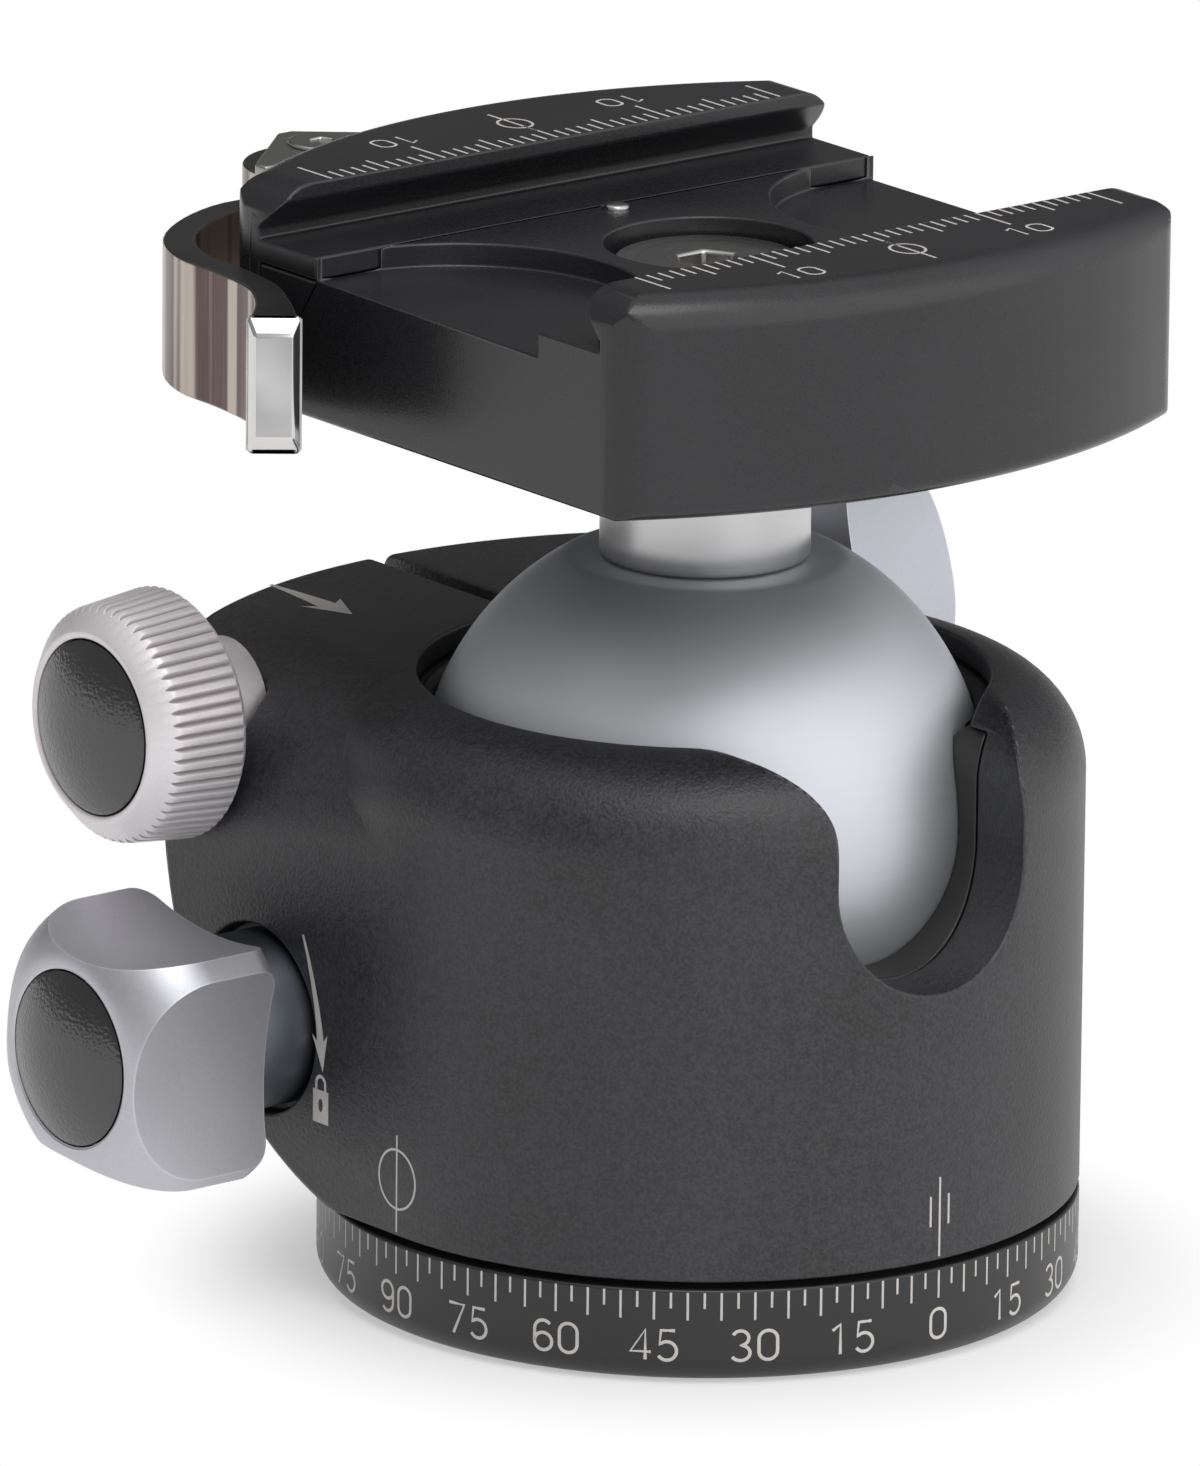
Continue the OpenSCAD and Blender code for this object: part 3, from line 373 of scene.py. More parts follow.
def make_edges():
    """Mask of convex and concave edges where a painted highlight is laid: Radius is how far it
    reaches.
    """
    tree, start, end = group("edge_highlight_mask", [("Radius", "NodeSocketFloat", 0.0002)], ["Mask"])
    round_off = node(tree, "ShaderNodeBevel", [("Radius", start.outputs["Radius"])], samples=6)
    surface = node(tree, "ShaderNodeNewGeometry")
    agree = node(tree, "ShaderNodeVectorMath", [(0, round_off.outputs[0]),
                                                (1, surface.outputs["Normal"])],
                 operation="DOT_PRODUCT")
    span = node(tree, "ShaderNodeMapRange", [("Value", agree.outputs["Value"]), ("From Min", 0.995),
                                             ("From Max", 0.93)])
    tree.links.new(span.outputs["Result"], end.inputs["Mask"])
    return tree


def make_creases():
    """Mask of painted shade in narrow grooves, from ambient occlusion: Reach is how far the other
    side of a groove may be.
    """
    tree, start, end = group("groove_shade", [("Reach", "NodeSocketFloat", 0.0005)], ["Mask"])
    closed_in = node(tree, "ShaderNodeAmbientOcclusion", [("Distance", start.outputs["Reach"])],
                     samples=8)
    span = node(tree, "ShaderNodeMapRange", [("Value", closed_in.outputs["AO"]), ("From Min", 0.8),
                                             ("From Max", 0.3)])
    tree.links.new(span.outputs["Result"], end.inputs["Mask"])
    return tree


PATTERNS = {"grain": make_grain(), "cloud": make_cloud(), "turned": make_turned(),
            "brushed": make_brushed(), "reflection_bands": make_bands(), "pebble": make_pebble(),
            "edges": make_edges(), "shade_in_grooves": make_creases()}


# ---- materials -------------------------------------------------------------

def finish(name, dark, light, metallic, roughness, swing=0.08, relief=None, relief_size=0.00015,
           relief_depth=2e-6, cloud=0.012, edge=None, highlight_radius=0.0002, turn=None, tone_mix=0.35,
           specular=0.5, groove_shade_colour=None):
    """Material of one finish. dark and light are the two ends of its slow change of tone, relief is
    the pattern of its surface, edge the colour of a painted highlight along edges, the groove colour
    a painted shade deep in narrow grooves, and turn the centre and angles that lay the relief's axis
    along the piece."""
    material = bpy.data.materials.new(name)
    material.use_nodes = True
    tree = material.node_tree
    shader = tree.nodes["Principled BSDF"]
    shader.inputs["Metallic"].default_value = metallic
    shader.inputs["Specular IOR Level"].default_value = specular
    place = node(tree, "ShaderNodeTexCoord").outputs["Object"]
    slow = node(tree, "ShaderNodeGroup", node_tree=PATTERNS["cloud"])
    tree.links.new(place, slow.inputs["Vector"])
    slow.inputs["Size"].default_value = cloud
    tone = slow.outputs["Tone"]
    if relief:
        aimed = place
        if turn:
            centre, angles = turn
            aimed = node(tree, "ShaderNodeMapping", [("Vector", place), ("Location", centre),
                                                     ("Rotation", angles)],
                         vector_type="TEXTURE").outputs[0]
        pattern = node(tree, "ShaderNodeGroup", node_tree=PATTERNS[relief])
        tree.links.new(aimed, pattern.inputs["Vector"])
        pattern.inputs[1].default_value = relief_size
        bump = node(tree, "ShaderNodeBump", [("Height", pattern.outputs["Height"]),
                                             ("Distance", relief_depth), ("Strength", 1.0)])
        tree.links.new(bump.outputs[0], shader.inputs["Normal"])
        tone = node(tree, "ShaderNodeMix", [("Factor", tone_mix), ("A", tone),
                                            ("B", pattern.outputs["Tone"])],
                    data_type="FLOAT").outputs[0]
    colour = node(tree, "ShaderNodeMix", [("Factor", tone)], data_type="RGBA")
    colour.inputs["A"].default_value = (*dark, 1)
    colour.inputs["B"].default_value = (*light, 1)
    shade = colour.outputs["Result"]
    rough = math_node(tree, "MULTIPLY_ADD", tone, swing, roughness - swing / 2)
    # Painted highlight: the edge mask mixes the edge colour in along convex and concave edges.
    if edge:
        line = node(tree, "ShaderNodeGroup", node_tree=PATTERNS["edges"])
        line.inputs["Radius"].default_value = highlight_radius
        painted_edge_highlight = node(tree, "ShaderNodeMix", data_type="RGBA")
        tree.links.new(line.outputs["Mask"], painted_edge_highlight.inputs["Factor"])
        tree.links.new(shade, painted_edge_highlight.inputs["A"])
        painted_edge_highlight.inputs["B"].default_value = (*edge, 1)
        shade = painted_edge_highlight.outputs["Result"]
    # Painted shade: the occlusion mask mixes the groove colour in deep in narrow grooves.
    if groove_shade_colour:
        groove = node(tree, "ShaderNodeGroup", node_tree=PATTERNS["shade_in_grooves"])
        dimmed = node(tree, "ShaderNodeMix", data_type="RGBA")
        tree.links.new(groove.outputs["Mask"], dimmed.inputs["Factor"])
        tree.links.new(shade, dimmed.inputs["A"])
        dimmed.inputs["B"].default_value = (*groove_shade_colour, 1)
        shade = dimmed.outputs["Result"]
    tree.links.new(shade, shader.inputs["Base Color"])
    tree.links.new(rough, shader.inputs["Roughness"])
    return material


# Painted edge highlight colour of the black parts.
BLACK_EDGE_HIGHLIGHT = (0.08, 0.08, 0.085)
MATERIALS = {
    "body_black": finish("body_black", (0.010, 0.0098, 0.0112), (0.040, 0.039, 0.044), 0.0, 0.42,
                         relief="grain", relief_size=0.00026, relief_depth=5.5e-5, tone_mix=0.65,
                         edge=BLACK_EDGE_HIGHLIGHT, highlight_radius=0.00012),
    "clamp_black": finish("clamp_black", (0.012, 0.0117, 0.0136), (0.022, 0.0214, 0.0245), 0.0, 0.29,
                          relief="grain", relief_size=0.0002, relief_depth=9e-6, tone_mix=0.5,
                          edge=BLACK_EDGE_HIGHLIGHT, highlight_radius=0.00012),
    "ring_black": finish("ring_black", (0.014, 0.014, 0.015), (0.020, 0.020, 0.022), 0.0, 0.36,
                         relief="turned", relief_size=0.00012, relief_depth=1.2e-6, edge=BLACK_EDGE_HIGHLIGHT,
                         highlight_radius=0.00012),
    "liner_dark": finish("liner_dark", (0.016, 0.0145, 0.013), (0.024, 0.021, 0.019), 0.0, 0.45,
                         relief="grain", relief_depth=2.5e-6),
    "ball_silver": finish("ball_silver", (0.60, 0.62, 0.66), (0.66, 0.68, 0.715), 0.8, 0.54,
                          relief="turned", relief_size=0.00008, relief_depth=3e-7,
                          turn=((0, 0, BALL_Z * MM), (0, 0, 0)), tone_mix=0.5),
    "stem_silver": finish("stem_silver", (0.58, 0.58, 0.59), (0.66, 0.655, 0.66), 1.0, 0.34,
                          relief="turned", relief_size=0.00009, relief_depth=6e-7, tone_mix=0.6),
    "steel": finish("steel", (0.42, 0.41, 0.40), (0.56, 0.55, 0.54), 1.0, 0.28, relief="turned",
                    relief_size=0.00012, relief_depth=1.2e-6, tone_mix=0.7),
    "bronze": finish("bronze", (0.42, 0.28, 0.12), (0.55, 0.38, 0.18), 1.0, 0.35, relief="turned",
                     relief_depth=8e-7),
    "bearing_plastic": finish("bearing_plastic", (0.012, 0.012, 0.012), (0.02, 0.02, 0.02), 0.0, 0.5,
                              relief="grain"),
    "seat_metal": finish("seat_metal", (0.42, 0.42, 0.40), (0.5, 0.5, 0.48), 1.0, 0.4,
                         relief="turned"),
    # The knobs' edge colours are painted highlights.
    "main_knob_anodised": finish("main_knob_anodised", (0.42, 0.43, 0.475), (0.50, 0.51, 0.56), 0.8,
                                 0.5, relief="grain", relief_depth=5e-6,
                                 edge=(0.75, 0.76, 0.80), highlight_radius=0.00015),
    # The ribbed knob's groove colour is a painted shade.
    "friction_knob_anodised": finish("friction_knob_anodised", (0.74, 0.70, 0.72),
                                     (0.84, 0.80, 0.82), 0.55, 0.48, relief="grain",
                                     relief_depth=8e-6, groove_shade_colour=(0.42, 0.38, 0.395)),
    "pan_knob_anodised": finish("pan_knob_anodised", (0.50, 0.50, 0.54), (0.58, 0.58, 0.62), 0.8,
                                0.44, relief="grain", relief_depth=7e-6, tone_mix=0.5,
                                edge=(0.74, 0.74, 0.77), highlight_radius=0.00022),
    "collar_blue_grey": finish("collar_blue_grey", (0.16, 0.18, 0.21), (0.20, 0.22, 0.255), 1.0, 0.4,
                               relief="grain", relief_depth=1.5e-6),
    "insert_black": finish("insert_black", (0.008, 0.008, 0.008), (0.014, 0.014, 0.014), 0.0, 0.20,
                           relief="pebble", relief_size=0.00027, relief_depth=2.4e-5, swing=0.06,
                           specular=1.0),
    # The lever's dark and light upright bands are painted reflection bands; its edge colour is a
    # painted highlight.
    "lever_steel": finish("lever_steel", (0.10, 0.065, 0.06), (0.52, 0.455, 0.40), 1.0, 0.32,
                          relief="reflection_bands", relief_size=0.0021, relief_depth=2.0e-6, tone_mix=0.95,
                          edge=(0.26, 0.24, 0.23)),
    "lever_edge": finish("lever_edge", (0.10, 0.10, 0.10), (0.17, 0.165, 0.16), 1.0, 0.34,
                         relief="grain", relief_depth=3e-6, edge=(0.34, 0.32, 0.31)),
    "lever_brushed": finish("lever_brushed", (0.20, 0.20, 0.205), (0.80, 0.80, 0.81), 1.0, 0.27,
                            relief="brushed", relief_size=0.00030, relief_depth=4e-6, tone_mix=0.85),
    "lever_chrome": finish("lever_chrome", (0.62, 0.61, 0.60), (0.74, 0.73, 0.72), 1.0, 0.14,
                           relief="brushed", relief_size=0.00012, relief_depth=1.5e-6,
                           tone_mix=0.6),
    "plate_grey": finish("plate_grey", (0.34, 0.345, 0.32), (0.42, 0.425, 0.40), 1.0, 0.36,
                         relief="grain", relief_depth=2e-6, edge=(0.6, 0.6, 0.57)),
    "mark_grey": finish("mark_grey", (0.50, 0.475, 0.45), (0.60, 0.57, 0.545), 0.0, 0.55,
                        relief="grain", relief_size=0.00008, relief_depth=3e-6, cloud=0.002),
}

for row in frame["record"]["subparts"]:
    carried = bpy.data.objects[row["node"]]
    carried.data.materials.clear()
    carried.data.materials.append(MATERIALS[row["material_slot"]])


def plain(node_name, name, edge, segments=3, spare=()):
    """Copy of a node with softened edges that keeps its own body and the finish of its slot."""
    row = next(r for r in frame["record"]["subparts"] if r["node"] == node_name)
    piece = copied(node_name, name)
    round_edges(piece, edge, segments=segments, spare=spare)
    bodies = frame["record"]["behaviour"]["bodies"]
    body = next(b for b, nodes in bodies.items() if node_name in nodes)
    slot = row["material_slot"]
    return dress(piece, name, body, slot, MATERIALS[slot], node_name)


# ---- base, housing, ball ---------------------------------------------------

def make_threaded_bush():
    """Steel bush with a real helical thread cut inside."""
    pitch, crest, root, outer, height = 1.5875, 3.97, 4.62, 6.5, 11.0
    bush = turned([(root + 0.05, 0.9), (root + 0.45, 0.0), (outer - 0.3, 0.0), (outer, 0.3),
                   (outer, height), (root + 0.05, height)], 96, closed=True)
    deselect()
    bpy.ops.mesh.primitive_circle_add(vertices=4, radius=0.1 * MM, fill_type="NOTHING")
    thread = bpy.context.object
    corners = [(root + 0.2, -0.70), (root + 0.2, 0.70), (crest + 0.05, 0.10), (crest + 0.05, -0.10)]
    for vertex, (x, z) in zip(thread.data.vertices, corners):
        vertex.co = (x * MM, 0, z * MM)
    screw = thread.modifiers.new("helix", "SCREW")
    screw.axis = "Z"
    screw.screw_offset = pitch * MM
    screw.iterations = 6
    screw.steps = screw.render_steps = 48
    only(thread)
    bpy.ops.object.modifier_apply(modifier="helix")
    bpy.ops.object.mode_set(mode="EDIT")
    bpy.ops.mesh.select_all(action="SELECT")
    bpy.ops.transform.translate(value=(0, 0, 1.1 * MM))
    select_rims()
    bpy.ops.mesh.edge_face_add()
    bpy.ops.mesh.select_all(action="SELECT")
    bpy.ops.mesh.normals_make_consistent(inside=False)
    bpy.ops.object.mode_set(mode="OBJECT")
    deselect()
    thread.select_set(True)
    bush.select_set(True)
    bpy.context.view_layer.objects.active = bush
    bpy.ops.object.join()
    smooth(bush, 30)
    return dress(bush, "tripod_thread", "base", "steel", MATERIALS["steel"], "thread_insert")


def make_ball():
    """Satin ball with a flat crown that the stem stands in."""
    rise = STEM_FOOT - BALL_Z
    crown = math.degrees(math.asin(rise / BALL_R))
    flat_r = math.sqrt(BALL_R ** 2 - rise ** 2)
    side = arc(0, BALL_Z, BALL_R, -88.5, crown - 0.8, 110)
    ball = turned(side + [(flat_r - 0.35, STEM_FOOT), (6.05, STEM_FOOT), (6.0, STEM_FOOT - 0.6)], 160)
    smooth(ball, 40)
    return dress(ball, "satin_ball", "ball", "ball_silver", MATERIALS["ball_silver"], "ball")


def make_stem():
    """Turned neck with broken edges, up to the clamp."""
    foot = STEM_FOOT + 0.05
    profile = [(5.95, foot - 11), (5.95, foot), (NECK_R - 0.4, foot), (NECK_R - 0.12, foot + 0.12),
               (NECK_R, foot + 0.4), (NECK_R, CLAMP_Z - 0.25), (NECK_R - 0.2, CLAMP_Z - 0.02)]
    stem = turned(profile, 128)
    smooth(stem, 40)
    return dress(stem, "turned_neck", "clamp", "stem_silver", MATERIALS["stem_silver"], "stem")


# ---- knobs -----------------------------------------------------------------

def knob_face(front, cap, rim, bore):
    """Profile from a knob's front edge down into the seat of its insert."""
    return [(rim, front), (cap + 0.32, front), (cap + 0.14, front - 0.08), (cap + 0.1, front - 0.25),
            (cap + 0.1, front - CAP_SEAT), (bore, front - CAP_SEAT)]


def make_lobed_knob(name, body, slot, node_name, side, y, z, back, front, radius, cap, shoulder,
                    scoop, waist, turn, bore, heel=1.5, tail=()):
    """Four-lobed knob: a turned drum with a curved front, hollowed by four upright scoops."""
    rim = cap + KNOB_RIM
    inset = radius - rim
    arc_r = (inset * inset + shoulder * shoulder) / (2 * inset)
    start = front - shoulder
    profile = list(tail) if tail else [(bore, back)]
    profile += arc(radius - heel, back + heel, heel, -90, 0, 12)
    profile += [(radius, back + heel + (start - back - heel) * i / 4) for i in range(1, 5)]
    for i in range(1, 24):
        rise = shoulder * i / 24
        profile.append((radius - arc_r + math.sqrt(arc_r ** 2 - rise ** 2), start + rise))
    knob = turned(profile + knob_face(front, cap, rim, bore), 256, closed=True)
    reach = (waist + scoop) * MM
    for i in range(4):
        angle = math.radians(turn + 90 * i)
        deselect()
        bpy.ops.mesh.primitive_cylinder_add(
            vertices=400, radius=scoop * MM, depth=(front - back + 2) * MM,
            location=(reach * math.cos(angle), reach * math.sin(angle), (front + back) / 2 * MM))
        settle(bpy.context.object)
        carve(knob, bpy.context.object)
    merge(knob)
    smooth(knob, 22)
    even_normals(knob)
    along_x(knob, side, y, z)
    return dress(knob, name, body, slot, MATERIALS[slot], node_name)


def make_ribbed_knob():
    """Friction knob: a slightly tapered drum with a coned front and sixty V grooves along it."""
    back, front, radius, lead, cone = FRICTION_BACK, FRICTION_FRONT, 9.0, 8.5, 1.8
    ribs, depth, blade, heel = 60, 0.38, 1.2, 0.7
    rim = CAP_R + KNOB_RIM
    profile = [(FRICTION_BORE, back), (radius - heel, back), (radius, back + heel)]
    profile += [(radius + (lead - radius) * i / 4, back + heel + (front - cone - back - heel) * i / 4)
                for i in range(1, 5)]
    profile += [(lead - 0.12, front - cone + 0.35), (rim + 0.3, front - 0.3), (rim, front - 0.06)]
    knob = turned(profile + knob_face(front, CAP_R, rim - 0.1, FRICTION_BORE), 240, closed=True)
    slope = math.atan2(radius - lead, front - cone - back)
    low, high = back + 0.25, front + 1.0
    deselect()
    bpy.ops.mesh.primitive_cylinder_add(vertices=3, radius=blade * MM, depth=(high - low) * MM,
                                        rotation=(0, 0, math.pi / 2))
    cutter = bpy.context.object
    settle(cutter)
    middle = (low + high) / 2
    surface = radius - (middle - back) * math.tan(slope)
    cutter.matrix_world = Matrix.Translation(
        ((surface - depth + blade) * MM, 0, middle * MM)) @ Matrix.Rotation(-slope, 4, "Y")
    settle(cutter)
    bpy.ops.object.mode_set(mode="EDIT")
    bpy.ops.mesh.select_all(action="SELECT")
    bpy.ops.mesh.spin(steps=ribs - 1, dupli=True, angle=math.tau * (ribs - 1) / ribs,
                      center=(0, 0, 0), axis=(0, 0, 1))
    bpy.ops.object.mode_set(mode="OBJECT")
    carve(knob, cutter)
    merge(knob, 0.01)
    round_edges(knob, 0.05, 28, 2)
    along_x(knob, -1, BOLT_Y, BOLT_Z)
    return dress(knob, "ribbed_knob", "friction_control", "friction_knob_anodised",
                 MATERIALS["friction_knob_anodised"], "friction_knob")


def make_insert(name, body, node_name, side, y, z, front, radius):
    """Domed black insert with a small rounded rim."""
    bulge = 1.3
    dome_r = (radius * radius + bulge * bulge) / (2 * bulge)
    centre = front + bulge - dome_r
    edge = math.degrees(math.asin((radius - 0.12) / dome_r))
    dome = [(dome_r * math.sin(math.radians(edge * (1 - i / 26))),
             centre + dome_r * math.cos(math.radians(edge * (1 - i / 26)))) for i in range(26)]
    insert = turned([(radius, front - CAP_SEAT + 0.05), (radius, front - 0.04), *dome], 128)
    along_x(insert, side, y, z)
    smooth(insert, 40)
    return dress(insert, name, body, "insert_black", MATERIALS["insert_black"], node_name)


def make_collar(name, body, slot, node_name, side, y, z, start, end, radius, bore):
    """Round collar with broken edges behind a knob."""
    collar = turned([(bore, start), (radius, start), (radius, end - 0.3), (radius - 0.09, end - 0.1),
                     (radius - 0.3, end), (bore, end)], 128, closed=True)
    along_x(collar, side, y, z)
    smooth(collar, 40)
    return dress(collar, name, body, slot, MATERIALS[slot], node_name)


# ---- marks -----------------------------------------------------------------

PROUD = 0.008
TICK = 0.17

DIGITS = {
    "0": [arc(0.31, 0.70, 0.27, 0, 180, 12) + arc(0.31, 0.30, 0.27, 180, 360, 12) + [(0.58, 0.70)]],
    "1": [[(0.10, 0.80), (0.34, 0.98), (0.34, 0.02)]],
    "3": [arc(0.29, 0.745, 0.235, 155, -90, 14) + arc(0.29, 0.265, 0.275, 90, -150, 14, 0.245)],
    "4": [[(0.46, 0.02), (0.46, 0.98), (0.03, 0.27), (0.62, 0.27)]],
    "5": [[(0.53, 0.98), (0.13, 0.98), (0.09, 0.53)] + arc(0.30, 0.32, 0.28, 128, -148, 16, 0.30)],
    "6": [arc(0.32, 0.68, 0.27, 40, 180, 8, 0.30) + arc(0.32, 0.30, 0.27, 180, 540, 20, 0.28)],
    "7": [[(0.03, 0.98), (0.58, 0.98), (0.20, 0.02)]],
    "9": [arc(0.30, 0.32, 0.27, 220, 360, 8, 0.30) + arc(0.30, 0.70, 0.27, 0, 360, 20, 0.28)],
}


def number(text, x, y, height, widen=1.08):
    """Strokes of a number centred at x, with its foot at y."""
    step = 0.78 * height * widen
    left = x - (step * (len(text) - 1) + 0.62 * height * widen) / 2
    return [[(left + step * i + px * height * widen, y + py * height) for px, py in stroke]
            for i, digit in enumerate(text) for stroke in DIGITS[digit]]


def strokes(lines, width, place):
    """Rounded raised lines: (x, y) points in millimetres, laid on a surface by place(x, y, out)."""
    curve = bpy.data.curves.new("strokes", "CURVE")
    curve.dimensions = "3D"
    curve.bevel_depth = width / 2 * MM
    curve.bevel_resolution = 1
    curve.use_fill_caps = True
    for line in lines:
        spline = curve.splines.new("POLY")
        loop = math.dist(line[0], line[-1]) < 1e-6 and len(line) > 3
        points = line[:-1] if loop else line
        spline.points.add(len(points) - 1)
        for point, (x, y) in zip(spline.points, points):
            point.co = (x * MM, y * MM, 0, 1)
        spline.use_cyclic_u = loop
    return laid(curve, width / 2, place)


def filled(loops, place):
    """Raised flat shape inside closed loops of (x, y) points."""
    curve = bpy.data.curves.new("shape", "CURVE")
    curve.dimensions = "2D"
    curve.fill_mode = "BOTH"
    curve.extrude = MM
    for loop in loops:
        spline = curve.splines.new("POLY")
        spline.points.add(len(loop) - 1)
        for point, (x, y) in zip(spline.points, loop):
            point.co = (x * MM, y * MM, 0, 1)
        spline.use_cyclic_u = True
    return laid(curve, 1.0, place)


def laid(curve, half, place):
    """Makes the flat marks a mesh and bends them onto their surface, PROUD millimetres high."""
    marks = bpy.data.objects.new("marks", curve)
    bpy.context.collection.objects.link(marks)
    only(marks)
    bpy.ops.object.convert(target="MESH")
    marks = bpy.context.object
    only(marks)
    bpy.ops.object.mode_set(mode="EDIT")
    bpy.ops.mesh.select_all(action="SELECT")
    bpy.ops.mesh.remove_doubles(threshold=0.001 * MM)
    bpy.ops.object.mode_set(mode="OBJECT")
    for vertex in marks.data.vertices:
        x, y, out = vertex.co / MM
        vertex.co = Vector(place(x, y, out / half * PROUD)) * MM
    marks.data.update()
    return marks


def round_drum(azimuth):
    """Lays x along the drum from an azimuth, y up it."""
    def place(x, y, out):
        angle = math.radians(azimuth) + x / BODY_R
        return (BODY_R + out) * math.cos(angle), (BODY_R + out) * math.sin(angle), y
    return place


def left_flank(x, y, out):
    """Left side of the housing: round toward the front, flat from the middle back."""
    if x < 0:
        return -BODY_R - out, -x, y
    return round_drum(180)(x, y, out)


def upright(z):
    return lambda x, y, out: (x, y, z + out)


def turned_back(z):
    return lambda x, y, out: (-x, -y, z + out)


def make_ring_marks():
    """Degree scale: a tick each 2.5 degrees and a number each 15."""
    parts = []
    for step in range(144):
        length = 2.0 if step % 2 == 0 else 1.15
        parts.append([(math.radians(step * 2.5) * BODY_R, 6.72),
                      (math.radians(step * 2.5) * BODY_R, 6.72 - length)])
    marks = [strokes(parts, TICK, round_drum(-90))]
    for step in range(24):
        angle = step * 15
        value = abs((angle + 90) % 180 - 90)
        marks.append(strokes(number(str(value), 0, 1.75, 2.25), 0.24, round_drum(-90 + angle)))
    return marks


def make_index_marks():
    """Triple index line over the zero, and the crossed circle over the ninety."""
    lines = [[(0, 7.75), (0, 13.5)], [(-0.8, 10.0), (-0.8, 12.2)], [(0.8, 10.0), (0.8, 12.2)]]
    front = strokes(lines, TICK, round_drum(-90))
    ring = arc(0, 11.6, 2.0, 0, 360, 36, 2.15)
    side = strokes([ring, [(0, 7.75), (0, 14.8)]], TICK, left_flank)
    return [front, side]


def tapered_arrow(path, start_w, end_w, head_w, head_l):
    """Outline of an arrow whose shaft widens along path to a barbed head at its end."""
    left, right = [], []
    count = len(path) - 1
    for i, (x, y) in enumerate(path):
        ax, ay = path[max(0, i - 1)]
        bx, by = path[min(count, i + 1)]
        length = math.hypot(bx - ax, by - ay)
        nx, ny = -(by - ay) / length, (bx - ax) / length
        half = (start_w + (end_w - start_w) * i / count) / 2
        left.append((x + nx * half, y + ny * half))
        right.append((x - nx * half, y - ny * half))
    ax, ay = path[-2]
    bx, by = path[-1]
    length = math.hypot(bx - ax, by - ay)
    dx, dy = (bx - ax) / length, (by - ay) / length
    barb = head_l * 0.22
    head = [(bx - dy * head_w / 2 - dx * barb, by + dx * head_w / 2 - dy * barb),
            (bx + dx * head_l, by + dy * head_l),
            (bx + dy * head_w / 2 - dx * barb, by - dx * head_w / 2 - dy * barb)]
    return left + head + right[::-1]


def make_lock_marks():
    """Curved arrow and padlock beside the pan-lock knob, and the arrow on the left shoulder."""
    path = [(-10.85, 26.8), (-10.25, 25.3), (-9.72, 23.7), (-9.25, 22.0), (-8.95, 20.6), (-8.8, 19.5)]
    arrow = filled([tapered_arrow(path, 0.22, 0.75, 1.75, 2.2)], left_flank)
    body = [(-9.6, 13.55), (-7.85, 13.55), (-7.85, 15.95), (-9.6, 15.95)]
    hole = arc(-8.73, 14.85, 0.26, 0, 330, 11, 0.5)
    lock = filled([body, hole], left_flank)
    shackle = strokes([[(-9.25, 15.9)] + arc(-8.73, 16.45, 0.5, 180, 0, 10) + [(-8.21, 15.9)]], 0.26,
                      left_flank)
    top = filled([tapered_arrow([(-11.05, 35.5), (-11.02, 33.2), (-11.05, 31.0), (-11.1, 28.9)],
                                0.3, 1.55, 3.4, 3.1)], upright(BODY_TOP))
    return [arrow, lock, shackle, top]


def jaw_scale(place):
    """Millimetre scale along a lip, with a crossed zero and a ten on each side."""
    lines = []
    for tick in range(-20, 21):
        length = 4.0 if tick % 10 == 0 else 2.7 if tick % 5 == 0 else 1.8
        lines.append([(tick, -LIP_Y - 0.12), (tick, -LIP_Y - length)])
    lines.append([(0, -LIP_Y - 2.4), (0, -LIP_Y - 8.1)])
    lines.append(arc(0, -LIP_Y - 5.0, 1.15, 0, 360, 28, 1.4))
    for side in (-1, 1):
        lines += number("10", side * 10.1, -LIP_Y - 6.9, 2.15, 1.15)
    return strokes(lines, 0.21, place)


# ---- clamp -----------------------------------------------------------------

def make_lever():
    """Bent strap with its cam hub: its end has broad bright chamfers round a brushed middle."""
    tip = Vector((TIP[0] * MM, TIP[1] * MM, 0))
    out = (tip - Vector((BEFORE_TIP[0] * MM, BEFORE_TIP[1] * MM, 0))).normalized()
    depth, width = 0.85, 0.55
    piece = copied("lever", "lever_strap")

    def ahead(face):
        """How far a face of the strap's end looks outward, and 0 for the other faces."""
        near = (face.center - tip).to_2d().length < 3.4 * MM
        return face.normal.dot(out) if near else 0.0

    only(piece)
    bpy.ops.object.mode_set(mode="EDIT")
    bpy.ops.mesh.select_mode(type="FACE")
    bpy.ops.mesh.select_all(action="DESELECT")
    bpy.ops.object.mode_set(mode="OBJECT")
    for face in piece.data.polygons:
        face.select = ahead(face) > 0.9
    bpy.ops.object.mode_set(mode="EDIT")
    bpy.ops.transform.translate(value=-out * depth * MM)
    bpy.ops.mesh.inset(thickness=width * MM, depth=0.0, use_even_offset=True)
    bpy.ops.transform.translate(value=out * depth * MM)
    bpy.ops.transform.resize(value=(1, 1, 0.84))
    bpy.ops.object.mode_set(mode="OBJECT")
    round_edges(piece, 0.25, 28)
    dress(piece, "lever_strap", "lever", "lever_steel", MATERIALS["lever_steel"], "lever")
    for name in ("lever_edge", "lever_chrome", "lever_brushed"):
        piece.data.materials.append(MATERIALS[name])
    for face in piece.data.polygons:
        if ahead(face) > 0.97:
            face.material_index = 3
        elif ahead(face) > 0.3:
            face.material_index = 2
        elif abs(face.normal.z) > 0.5:
            face.material_index = 1


make_threaded_bush()
plain("pan_base", "degree_ring", 0.25)
plain("thrust_washer", "bearing_washer", 0.08, segments=2)
plain("housing", "housing_shell", 0.3)
plain("socket_liner", "split_liner", 0.22)
make_ball()
make_stem()
plain("clamp_bolt", "cross_bolt", 0.2)
plain("main_thrust_washer", "knob_washer", 0.12)
plain("clamp_body", "clamp_base", 0.2,
      spare=[(side * TONGUE_CORNER[0], *TONGUE_CORNER[1:]) for side in (-1, 1)])
plain("moving_jaw", "sliding_jaw", 0.2)
plain("clamp_screw", "socket_screw", 0.28)
plain("stop_pin", "stop_peg", 0.25)
plain("draw_bolt", "eye_bolt", 0.2)
plain("jaw_guide_pins", "guide_rods", 0.2)
plain("cam_plate", "cam_facing", 0.12)
plain("lever_plate", "hub_plate", 0.22)
plain("lever_pivot", "pivot_screw", 0.16)
make_lever()

